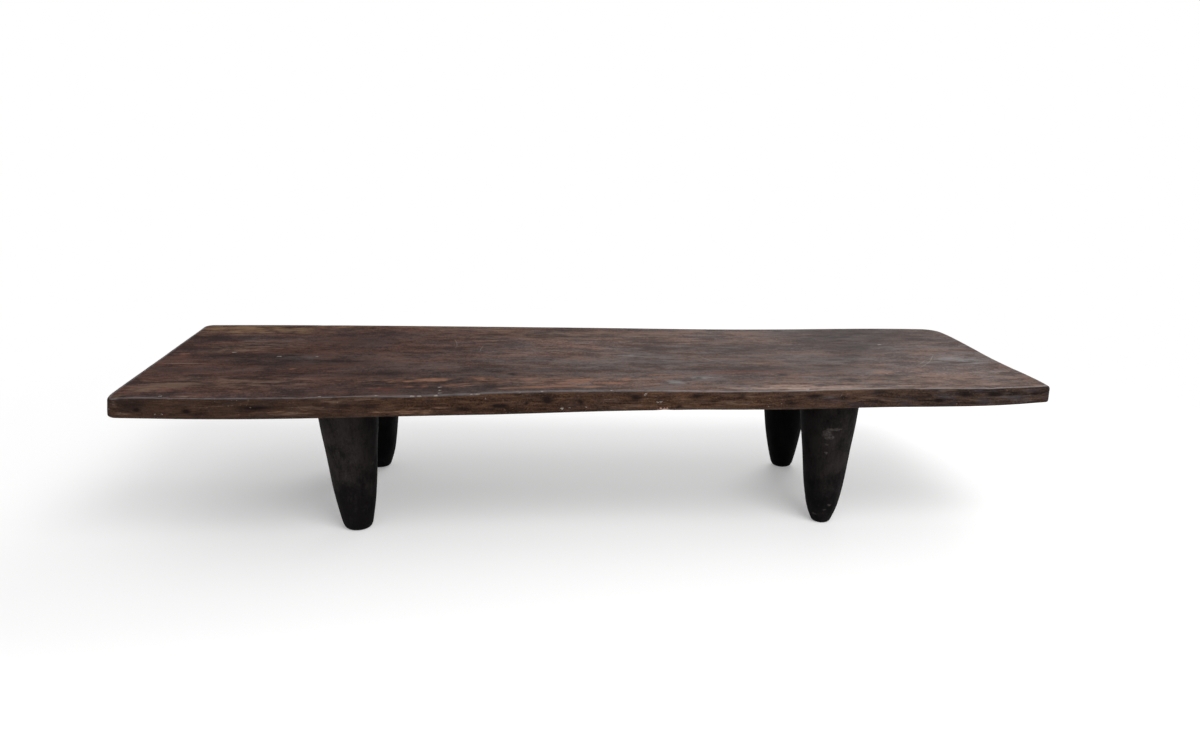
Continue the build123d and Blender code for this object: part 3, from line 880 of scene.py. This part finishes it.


# ---- small marks, each placed one by one ----
TOP_NICKS = (  # x, y, radius: small pale chips in the finish
    (-0.888, 0.046, 0.0045), (-0.766, 0.001, 0.005), (-0.673, -0.006, 0.0036), (-0.348, -0.288, 0.004),
    (-0.346, -0.312, 0.0034), (-0.344, -0.334, 0.0044), (0.796, 0.062, 0.0045), (0.709, -0.217, 0.0036),
    (-0.938, -0.33, 0.0036), (-0.912, -0.348, 0.004), (-0.272, -0.343, 0.006), (-0.262, -0.34, 0.004),
    (-0.402, -0.35, 0.005), (-0.388, -0.35, 0.0036), (-0.352, -0.348, 0.004), (-0.021, -0.336, 0.004),
    (-0.012, -0.336, 0.0036), (-0.17, -0.336, 0.003), (-0.12, -0.33, 0.0026), (0.035, -0.33, 0.003),
    (0.48, -0.338, 0.004), (0.44, -0.33, 0.0036), (0.52, -0.326, 0.0036), (0.4, -0.322, 0.003),
    (0.56, -0.334, 0.003), (0.35, -0.334, 0.0026), (-0.48, -0.345, 0.003), (-0.6, -0.349, 0.0026),
)
FRONT_NICKS = (  # x, z, radius
    (0.108, 0.3632, 0.0021), (0.1115, 0.3655, 0.0014), (0.1365, 0.3472, 0.0022), (0.1435, 0.3492, 0.0026),
    (-0.077, 0.3345, 0.0026), (-0.06, 0.336, 0.0015), (-0.023, 0.3375, 0.0014), (0.415, 0.343, 0.0014),
    (-0.93, 0.3375, 0.0016), (-0.945, 0.3378, 0.0016), (0.386, 0.337, 0.0014), (-0.245, 0.36, 0.0012),
)
PINK_CHIPS = (  # x, z, radius
    (0.144, 0.3335, 0.0024), (0.152, 0.3338, 0.0026), (0.158, 0.3343, 0.0022), (0.137, 0.333, 0.0018),
)
LEG_SCUFFS = (  # x, z, radius: rubbed places on the front of the legs
    (0.552, 0.257, 0.0042), (0.558, 0.2576, 0.0044), (0.565, 0.258, 0.004), (0.572, 0.2578, 0.0038),
    (0.579, 0.2582, 0.003), (0.549, 0.25, 0.006), (0.55, 0.243, 0.0068), (0.553, 0.2365, 0.006),
    (0.56, 0.2375, 0.0042), (0.551, 0.218, 0.0026), (0.552, 0.196, 0.0026), (0.546, 0.026, 0.003),
    (0.575, 0.055, 0.003), (0.566, 0.042, 0.0026), (-0.512, 0.17, 0.0034),
)
NICK_SIZE = 0.72  # of the radii above
NICK_STRETCH = 1.8  # a chip is this many times as long as it is wide
NICK_SWAY = ((0.004,) * 3, 1, (0.007,) * 3)
SCRATCHES = (  # x and y at both ends, bow sideways, half width: fine pale lines on the top
    (-1.038, -0.056, -0.918, -0.064, 0.002, 0.003), (-0.345, 0.165, -0.336, 0.066, 0.006, 0.0012),
    (-0.262, 0.1, -0.27, 0.02, -0.003, 0.001), (0.07, -0.021, 0.21, -0.048, -0.006, 0.0018),
    (0.285, -0.03, 0.346, -0.108, -0.012, 0.0018), (0.346, -0.108, 0.44, -0.127, 0.004, 0.0018),
    (0.13, -0.01, 0.2, -0.02, 0.003, 0.0014), (0.905, -0.034, 0.79, -0.192, 0.01, 0.0013),
    (0.86, -0.09, 0.8, -0.16, 0.004, 0.0011), (0.7, -0.16, 0.64, -0.15, 0.003, 0.0014),
)
SCRATCH_SWAY = ((0.03,) * 3, 3, (0.006, 0.006, 0))
SCRATCH_TIP = 0.001  # share of its width that a scratch keeps at its very ends


def nearest_spot(w, place, spots, axis):
    """How many radii away the nearest of several spots is; axis is the number of the spots' second one."""
    place = w.sway(place, *NICK_SWAY)
    kept = [1 / NICK_STRETCH, 0, 0]
    kept[axis] = 1
    place = w.vector("MULTIPLY", place, kept)
    nearest = FAR_AWAY
    for x, other, radius in spots:
        centre = [x / NICK_STRETCH, 0, 0]
        centre[axis] = other
        away = w.math("DIVIDE", w.vector("DISTANCE", place, centre), NICK_SIZE * radius)
        nearest = w.math("MINIMUM", away, nearest)
    return nearest


def nearest_scratch(w, place):
    """How many half widths away the nearest scratch is; a scratch thins out at its ends."""
    place = w.sway(place, *SCRATCH_SWAY)
    nearest = FAR_AWAY
    for x_one, y_one, x_two, y_two, bow, half_width in SCRATCHES:
        length = math.hypot(x_two - x_one, y_two - y_one)
        ahead = ((x_two - x_one) / length, (y_two - y_one) / length, 0)
        from_start = w.vector("SUBTRACT", place, (x_one, y_one, TOP))
        along = w.math("DIVIDE", w.vector("DOT_PRODUCT", from_start, ahead), length)
        beside = w.vector("DOT_PRODUCT", from_start, (-ahead[1], ahead[0], 0))
        arch = w.times(w.times(along, w.rest(along)), 4.0)
        beside = w.math("ABSOLUTE", w.math("SUBTRACT", beside, w.times(arch, bow)))
        width = w.times(w.math("MAXIMUM", arch, SCRATCH_TIP), half_width)
        nearest = w.math("MINIMUM", w.math("DIVIDE", beside, width), nearest)
    return nearest


# ---- the slab's wood ----
SLAB_SHINE = 0.05
SLAB_BUMP = 0.0007
SLAB_SWAY = ((0.5, 0.35, 0.35), 2, (0, 0.05, 0.04))  # the grain's slow drift: sizes, detail, reach
GRAIN_NOISES = {  # sizes along each axis, detail, roughness and distortion of what follows the grain
    "patches": ((0.34, 0.12, 0.06), 3, 0.55),
    "bands": ((0.13, 0.042, 0.018), 5, 0.62),
    "hue": ((0.11, 0.045, 0.02), 3, 0.6),
    "strokes": ((0.09, 0.012, 0.004), 3, 0.6),
    "streaks": ((0.08, 0.03, 0.012), 4, 0.6),
    "veins": ((0.055, 0.012, 0.0042), 4, 0.6),
    "blotches": ((0.05, 0.024, 0.01), 3, 0.6, 0.5),
    "dashes": ((0.034, 0.015, 0.005), 4, 0.65),
    "mottle": ((0.03, 0.032, 0.012), 5, 0.72),
    "threads": ((0.026, 0.0085, 0.0028), 3, 0.6),
    "fibres": ((0.022, 0.0018, 0.0012), 2, 0.6),
}
DIRT_NOISES = {  # the same for what lies on the wood
    "crumbs": ((0.011, 0.01, 0.005), 2, 0.6),
    "dust": ((0.0052, 0.0085, 0.0035), 2, 0.7),
    "flecks": ((0.005, 0.007, 0.003), 3, 0.7),
    "grit": ((0.003, 0.004, 0.0026), 2, 0.7),
    "specks": ((0.006, 0.004, 0.002), 1),
    "speckled": ((0.09, 0.3, 0.3), 1),
}
TOP_TONE = {"patches": 0.4, "streaks": 0.3, "threads": 0.14, "mottle": 0.3, "flecks": 0.26}
TOP_CRISP = (  # noise, the levels between which it rises, its weight
    ("bands", 0.41, 0.59, 0.4), ("dashes", 0.44, 0.56, 0.28),
    ("crumbs", 0.4, 0.6, 0.18), ("dust", 0.4, 0.6, 0.4),
)
TOP_BASE = -0.61
SIDE_TONE = {
    "patches": 0.2, "streaks": 0.16, "veins": 0.32, "threads": 0.1, "mottle": 0.14, "flecks": 0.18,
    "grit": 0.28,
}
RAGGED = {"streaks": 0.9, "threads": 1.2, "strokes": 1.6, "blotches": 0.9}  # how a stain's rim frays
RAGGED_BASE = -2.3
RELIEF = {"fibres": 0.5, "threads": 1.0, "streaks": 1.0}

DEEP = (0.024, 0.0118, 0.0102)
BROWN = (0.084, 0.041, 0.032)
# the top's worn, greyer wood: partly worn patina, partly painted sheen
WORN_SHEEN_DEEP = (0.056, 0.036, 0.031)
WORN_SHEEN = (0.128, 0.088, 0.077)
COOL_TINT = (0.93, 1.01, 1.06)
WARM_TINT = (1.1, 0.97, 0.88)
SIDE_DEEP = (0.02, 0.0105, 0.0073)
SIDE_BROWN = (0.102, 0.053, 0.0315)
SIDE_CALM = (0.042, 0.025, 0.0195)
SIDE_VIOLET = (0.04, 0.028, 0.0265)
SIDE_COOLER = (0.8, 0.97, 1.22)
BELOW_DEEP = (0.03, 0.02, 0.015)
BELOW_BROWN = (0.078, 0.052, 0.037)
BLACK = (0.008, 0.005, 0.005)
RING_TINT = (0.4, 0.36, 0.34)
HAIR_TINT = (0.45, 0.42, 0.42)
FIBRE_TINT = (0.42, 0.38, 0.36)
# the painted highlight along the upper arris: grey at the head end, paler at the foot end
HIGHLIGHT_GREY = (0.122, 0.113, 0.117)
HIGHLIGHT_PALE = (0.25, 0.217, 0.205)
PALE = (0.36, 0.33, 0.3)
CHIP_PINK = (0.52, 0.28, 0.2)
SPECK = (0.3, 0.22, 0.17)
STAIN_TINTS = (  # kind of stain, its colour, the levels between which it sets in, its greatest share
    # grey is dusty patina and, on the foot end's top, partly painted sheen
    ("grey", (0.105, 0.095, 0.092), 0.15, 1.0, 0.62),
    ("chalk", (0.185, 0.178, 0.178), 0.2, 0.95, 0.8),
    ("sap", (0.19, 0.118, 0.064), 0.15, 1.0, 0.85),
    ("pink", (0.3, 0.205, 0.165), 0.2, 0.9, 0.85),
    ("tan", (0.15, 0.096, 0.068), 0.15, 1.0, 0.85),
    ("red", (0.09, 0.03, 0.022), 0.2, 0.95, 0.85),
    ("orange", (0.215, 0.108, 0.068), 0.28, 0.95, 0.9),
)
# Along the bed: x from and to, and the shares there where they aren't 0 and 1.
# the top's lighter, greyer wood towards the foot end is partly worn patina and partly painted sheen
WORN_SHEEN_ALONG = (-0.85, 0.5)
CALM_ALONG = (-0.4, -0.62, 0, 0.5)
VIOLET_ALONG = (0.3, 0.85, 0.35, 0.9)
COOLER_ALONG = (0.2, 0.9, 0, 0.85)
# where the painted highlight turns from grey to pale
HIGHLIGHT_PALE_ALONG = (-0.15, 0.6)
ROUGHNESS_ALONG = (-0.8, 0.9, 0.8, 0.64)
WORN_SHEEN_ACROSS = -0.4  # added per metre of y
UP_ON_TOP = (TOP - 0.004, TOP - 0.002)  # z
OUT_ON_FRONT = (-0.2, -0.25)  # y
HEART = (0, -0.06, 0.1)  # the middle of the tree's rings, which run along X
RING_WIDTH = 0.012
RING_WAVE = 0.012  # how far the patches' noise shifts the rings
FINE_RING_WIDTH = 0.0045
CHECK_SIZE = (1 / 70, 0.04, 1)  # of the ends' drying checks: radians round the heart, metres from it


def end_grain(w, noise, grain):
    """Shares of the growth rings, and of the fine rings and radial checks of the sawn ends."""
    from_heart = w.vector("MULTIPLY", w.vector("SUBTRACT", grain, HEART), (0, 1, 1))
    _, across, up = w.parts(from_heart)
    away = w.math("MULTIPLY_ADD", noise.patches, RING_WAVE, w.vector("LENGTH", from_heart))
    rings = w.spread(w.math("SINE", w.times(away, 2 * math.pi / RING_WIDTH)), -0.4, 1.0)
    fine = w.spread(w.math("SINE", w.times(away, 2 * math.pi / FINE_RING_WIDTH)), -0.2, 1.0)
    spokes = w.node("ShaderNodeCombineXYZ", {"X": w.math("ARCTAN2", across, up), "Y": away}).outputs[0]
    checks = w.spread(w.noise(spokes, CHECK_SIZE, 2), 0.63, 0.7)
    return rings, w.times(w.attribute("on_end"), w.math("MAXIMUM", w.times(fine, 0.45), checks))


def lightness(w, noise):
    """How light the top's and the underside's wood is: a soft tone with crisp bands, dashes and dust."""
    crisp = TOP_BASE
    for name, low, high, weight in TOP_CRISP:
        crisp = w.math("MULTIPLY_ADD", w.spread(getattr(noise, name), low, high), weight, crisp)
    return w.plus(w.spread(w.total(noise, TOP_TONE), 0.595, 0.805), crisp, clamp=True)


def top_color(w, noise, light, x, y):
    """The top: dark and brown at the head end, worn and greyer towards the foot end's front, the grey partly
    painted sheen.
    """
    along = w.plus(w.spread(x, *WORN_SHEEN_ALONG), w.times(w.plus(noise.patches, -0.5), 0.8))
    worn = w.spread(w.plus(along, w.times(y, WORN_SHEEN_ACROSS)), -0.1, 1.0)
    color = w.mix(light, w.mix(worn, DEEP, WORN_SHEEN_DEEP), w.mix(worn, BROWN, WORN_SHEEN))
    color = w.mix(1.0, color, w.mix(w.spread(noise.hue, 0.38, 0.62), COOL_TINT, WARM_TINT), "MULTIPLY")
    # the broad shades: partly the wood's tone, partly painted shadow of bowls that stood on the top
    return w.scale(color, w.attribute("shade"))


def side_color(w, noise, x):
    """The sides: calm at the head end, with violet clouds and a cooler brown at the foot end."""
    color = w.mix(w.spread(w.total(noise, SIDE_TONE), 0.59, 0.8), SIDE_DEEP, SIDE_BROWN)
    color = w.mix(w.spread(x, *CALM_ALONG), color, SIDE_CALM)
    violet = w.times(w.spread(noise.blotches, 0.48, 0.62), w.spread(x, *VIOLET_ALONG))
    color = w.mix(violet, color, SIDE_VIOLET)
    return w.mix(w.spread(x, *COOLER_ALONG), color, SIDE_COOLER, "MULTIPLY")


def stained(w, color, ragged):
    """The colour with the stains that the vertices carry, frayed along the grain."""
    for name, tint, low, high, most in STAIN_TINTS:
        level = w.attribute(name)
        share = w.times(w.spread(w.plus(level, ragged), low, high, 0.0, most), w.spread(level, 0.02, 0.2))
        color = w.mix(share, color, tint)
    return color


def small_marks(w, noise, place, on_side, arris):
    """Shares of the scratches, the pale nicks, the specks and the pink chips."""
    _, y, z = w.parts(place)
    above = w.spread(z, *UP_ON_TOP)
    upper = w.times(above, w.rest(on_side))
    facing = w.times(on_side, w.spread(y, *OUT_ON_FRONT))
    scratch = w.times(w.spread(nearest_scratch(w, place), 1.2, 0.5), above)
    upper = w.times(w.spread(nearest_spot(w, place, TOP_NICKS, 1), 1.2, 0.7), upper)
    front = w.times(w.spread(nearest_spot(w, place, FRONT_NICKS, 2), 1.2, 0.7), facing)
    nick = w.times(w.math("MAXIMUM", upper, front), w.spread(noise.flecks, 0.38, 0.54, 0.55, 1.0))
    speckled = w.times(w.spread(noise.speckled, 0.46, 0.58), w.math("MAXIMUM", on_side, arris))
    specks = w.times(w.spread(noise.specks, 0.7, 0.76), speckled)
    pink = w.times(w.spread(nearest_spot(w, place, PINK_CHIPS, 2), 1.2, 0.8), facing)
    return scratch, nick, specks, pink


def slab_material():
    """Brown, oiled and worn wood: long streaks and fibres along X, rings round a heart below the plank."""
    w = Wiring(bpy.data.materials.new("slab_wood"))
    place = w.place()
    grain = w.sway(place, *SLAB_SWAY)
    noise = SimpleNamespace(**w.noises(grain, GRAIN_NOISES), **w.noises(place, DIRT_NOISES))
    x, y, _ = w.parts(place)
    on_side = w.attribute("on_side")
    arris = w.attribute("arris")
    light = lightness(w, noise)
    ragged = w.total(noise, RAGGED, RAGGED_BASE)
    color = w.mix(on_side, top_color(w, noise, light, x, y), side_color(w, noise, x))
    color = w.mix(w.attribute("on_underside"), color, w.mix(light, BELOW_DEEP, BELOW_BROWN))
    color = stained(w, color, ragged)

    rings, end_dark = end_grain(w, noise, grain)
    knots = w.times(w.attribute("dark"), w.spread(noise.blotches, 0.25, 0.6, 0.85, 1.15), clamp=True)
    hairs = w.times(w.spread(noise.strokes, 0.43, 0.34), w.rest(on_side))
    lines = w.spread(noise.fibres, 0.56, 0.36)
    # edge: the painted highlight along the upper arris; the wood is also a little smoother there
    edge = w.times(arris, w.spread(w.plus(noise.blotches, ragged), 0.1, 0.7, 0.45, 1.0))
    highlight_color = w.mix(w.spread(x, *HIGHLIGHT_PALE_ALONG), HIGHLIGHT_GREY, HIGHLIGHT_PALE)
    scratch, nick, specks, pink = small_marks(w, noise, place, on_side, arris)
    coats = (  # where each lies, its greatest share, its colour
        (knots, 0.9, BLACK), (rings, 0.16, RING_TINT, "MULTIPLY"), (end_dark, 0.85, BLACK),
        (hairs, 0.5, HAIR_TINT, "MULTIPLY"), (lines, 0.55, FIBRE_TINT, "MULTIPLY"), (edge, 0.75, highlight_color),
        (scratch, 0.22, PALE), (nick, 0.66, PALE), (specks, 0.4, SPECK), (pink, 0.85, CHIP_PINK),
    )
    for share, most, *tint in coats:
        color = w.mix(w.times(share, most), color, *tint)

    roughness = w.plus(w.spread(x, *ROUGHNESS_ALONG), w.spread(noise.streaks, 0.3, 0.7, 0.05, -0.05))
    roughness = w.plus(roughness, w.times(edge, -0.15), clamp=True)
    height = w.math("SUBTRACT", w.total(noise, RELIEF), w.math("MAXIMUM", w.times(knots, 0.6), nick))
    height = w.math("SUBTRACT", height, end_dark)
    return w.wood(color, roughness, SLAB_SHINE, w.bump(height, SLAB_BUMP))


# ---- the legs' and the wedges' wood ----
LEG_SHINE = 0.04
LEG_BUMP = 0.0007
LEG_SWAY = ((0.08, 0.08, 0.15), 2, (0.016, 0.016, 0))
LEG_NOISES = {
    "mottle": ((0.034, 0.034, 0.052), 6, 0.65), "streaks": ((0.005, 0.005, 0.05), 3, 0.6),
    "fibres": ((0.0016, 0.0016, 0.03), 2, 0.7),
}
LEG_GRIT = ((0.0045,) * 3, 3, 0.7)
LEG_TONE = {"mottle": 0.52, "streaks": 0.16, "grit": 0.26}
LEG_RELIEF = {"fibres": 0.4, "streaks": 0.6, "grit": 0.3}
LEG_BLACK = (0.0052, 0.0045, 0.0047)
LEG_WORN = (0.027, 0.0222, 0.021)
LEG_SCUFF = (0.075, 0.066, 0.062)
LEG_FIBRE_TINT = (0.5, 0.5, 0.5)
LEG_INNER_SHADE_X = (0.49, 0.575, 0.22, 1.0)  # painted shade on the legs' sides that face under the bed: distances from the bed's middle, and how light a leg is at each
LEG_INNER_SHADE_Y = (0.13, 0.215, 0.1, 1.0)
LEG_UPWARDS = (0.02, 0.2, -0.13, 0.04)  # heights, and what each adds to the tone
LEG_FRONT = (-0.22, -0.25)  # y
LEG_HEAD_FOOT = (-0.3, 0.3, 1.28, 0.85)  # x at the head and the foot end, and how light a leg is there
WEDGE_PALE = (0.34, 0.22, 0.13)
WEDGE_DARK = (0.22, 0.13, 0.075)


def leg_material():
    """Blackened wood, matt, with faint cloudy wear, fine grit and weak streaks down the grain, and painted
    shade on the sides that face under the bed.
    """
    w = Wiring(bpy.data.materials.new("leg_wood"))
    place = w.place()
    x, y, z = w.parts(place)
    noise = SimpleNamespace(**w.noises(w.sway(place, *LEG_SWAY), LEG_NOISES), grit=w.noise(place, *LEG_GRIT))
    light = w.plus(w.total(noise, LEG_TONE), w.spread(z, *LEG_UPWARDS))
    color = w.mix(w.spread(light, 0.34, 0.6), LEG_BLACK, LEG_WORN)
    # painted shade: each leg is darker on the sides that face under the bed
    inner_shade_x = w.spread(w.math("ABSOLUTE", x), *LEG_INNER_SHADE_X)
    inner_shade_y = w.spread(w.math("ABSOLUTE", y), *LEG_INNER_SHADE_Y)
    color = w.scale(color, w.times(inner_shade_y, w.times(inner_shade_x, w.spread(x, *LEG_HEAD_FOOT))))
    scuff = w.times(w.spread(nearest_spot(w, place, LEG_SCUFFS, 2), 1.7, 0.5), w.spread(y, *LEG_FRONT))
    color = w.mix(w.times(scuff, w.spread(noise.grit, 0.4, 0.6, 0.35, 0.8)), color, LEG_SCUFF)
    color = w.mix(w.spread(noise.fibres, 0.58, 0.4, 0.0, 0.4), color, LEG_FIBRE_TINT, "MULTIPLY")
    roughness = w.spread(noise.mottle, 0.3, 0.7, 0.8, 0.64)
    return w.wood(color, roughness, LEG_SHINE, w.bump(w.total(noise, LEG_RELIEF), LEG_BUMP))


def wedge_material():
    """Plain split hardwood of the hidden wedges."""
    w = Wiring(bpy.data.materials.new("wedge_wood"))
    streaks = w.noise(w.place(), (0.002, 0.002, 0.03), 3, 0.6)
    color = w.mix(w.spread(streaks, 0.3, 0.7), WEDGE_DARK, WEDGE_PALE)
    return w.wood(color, 0.7, 0.3, w.bump(streaks, 0.0003))


# ================= room, lights and camera =================
FLOOR_HALF = 30.0
FLOOR_ALBEDO = 0.8
FLOOR_LIFT = 0.25  # what the camera sees over the floor's own shade, so that it is white off the shadow
FLOOR_FADE = (1.3, 2.3)  # distances from the middle over which the floor becomes plain white
AMBIENT = 0.62
LIGHTS = (  # name, place, power
    ("key", (1.2, -2.6, 3.2), 95), ("back", (1.6, 3, 2.6), 60),
)
LIGHT_TARGET = Vector((0, 0, 0.3))
LIGHT_SIZE = 2.5
CAMERA_PLACE = (-0.1671, -2.3481, 0.984)
CAMERA_LENS = 28.49  # mm, as the sensor's width
CAMERA_SENSOR = 36.0
CAMERA_PITCH = math.radians(15.7435)  # down
CAMERA_YAW = math.radians(4.9596)  # from +Y towards +X
CAMERA_ROLL = math.radians(0.6959)


def seen_or_mirrored(w):
    """1 for the rays of the camera, of reflections and of what is seen through things."""
    path = w.node("ShaderNodeLightPath")
    mirrored = w.math("MAXIMUM", path.outputs["Is Glossy Ray"], path.outputs["Is Transmission Ray"])
    return w.math("MAXIMUM", path.outputs["Is Camera Ray"], mirrored)


def build_floor():
    """A plain pale floor that keeps the soft shadow near the bed and is white further off."""
    corners = [(x * FLOOR_HALF, y * FLOOR_HALF, 0) for x, y in ((-1, -1), (1, -1), (1, 1), (-1, 1))]
    floor = make_object("floor", corners, [(0, 1, 2, 3)])
    floor.data.shade_flat()
    w = Wiring(bpy.data.materials.new("floor_pale"))
    matt = w.shader("ShaderNodeBsdfDiffuse", Color=(*(FLOOR_ALBEDO,) * 3, 1))
    lift = w.shader("ShaderNodeEmission", Color=WHITE, Strength=FLOOR_LIFT)
    white = w.shader("ShaderNodeEmission", Color=WHITE, Strength=1.0)
    near = w.node("ShaderNodeAddShader", {0: matt, 1: lift}).outputs[0]
    seen = w.blend(w.spread(w.vector("LENGTH", w.place()), *FLOOR_FADE), near, white)
    whole = w.blend(seen_or_mirrored(w), matt, seen)
    floor.data.materials.append(w.finish("ShaderNodeOutputMaterial", whole))


def build_world():
    """White where it is seen or mirrored, and a plain soft light on everything."""
    world = bpy.data.worlds.new("studio")
    bpy.context.scene.world = world
    w = Wiring(world)
    soft = w.shader("ShaderNodeBackground", Color=WHITE, Strength=AMBIENT)
    white = w.shader("ShaderNodeBackground", Color=WHITE, Strength=1.0)
    w.finish("ShaderNodeOutputWorld", w.blend(seen_or_mirrored(w), soft, white))


def area_light(name, place, power):
    """A square soft light at a place, turned towards the bed."""
    light = bpy.data.lights.new(name, "AREA")
    light.shape = "SQUARE"
    light.size = LIGHT_SIZE
    light.energy = power
    lamp = bpy.data.objects.new(name, light)
    lamp.location = place
    lamp.rotation_euler = (LIGHT_TARGET - Vector(place)).to_track_quat("-Z", "Y").to_euler()
    bpy.context.scene.collection.objects.link(lamp)


def build_camera():
    """The camera at the viewpoint from which the bed is matched."""
    data = bpy.data.cameras.new("camera")
    data.sensor_fit = "HORIZONTAL"
    data.sensor_width = CAMERA_SENSOR
    data.lens = CAMERA_LENS
    camera = bpy.data.objects.new("camera", data)
    turns = ((-CAMERA_YAW, "Z"), (math.pi / 2 - CAMERA_PITCH, "X"), (CAMERA_ROLL, "Z"))
    yaw, pitch, roll = [Matrix.Rotation(angle, 4, axis) for angle, axis in turns]
    camera.matrix_world = Matrix.Translation(CAMERA_PLACE) @ yaw @ pitch @ roll
    bpy.context.scene.collection.objects.link(camera)
    bpy.context.scene.camera = camera


# ================= the scene =================
def main():
    """Builds the room, the lights, the camera and the bed."""
    bpy.context.scene.view_settings.view_transform = "Standard"
    build_camera()
    build_world()
    build_floor()
    for light in LIGHTS:
        area_light(*light)

    slab_wood = slab_material()
    leg_wood = leg_material()
    wedge_wood = wedge_material()
    slab = build_slab()
    slab.data.materials.append(slab_wood)
    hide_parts("slab")
    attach(slab, "root")
    for place in LEG_PLACES:
        leg = build_leg(place)
        leg.data.materials.append(leg_wood)
        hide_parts("leg_" + place)
        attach(leg, "root")
        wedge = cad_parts["wedge_" + place]
        for slot in wedge.material_slots:
            slot.material = wedge_wood


main()
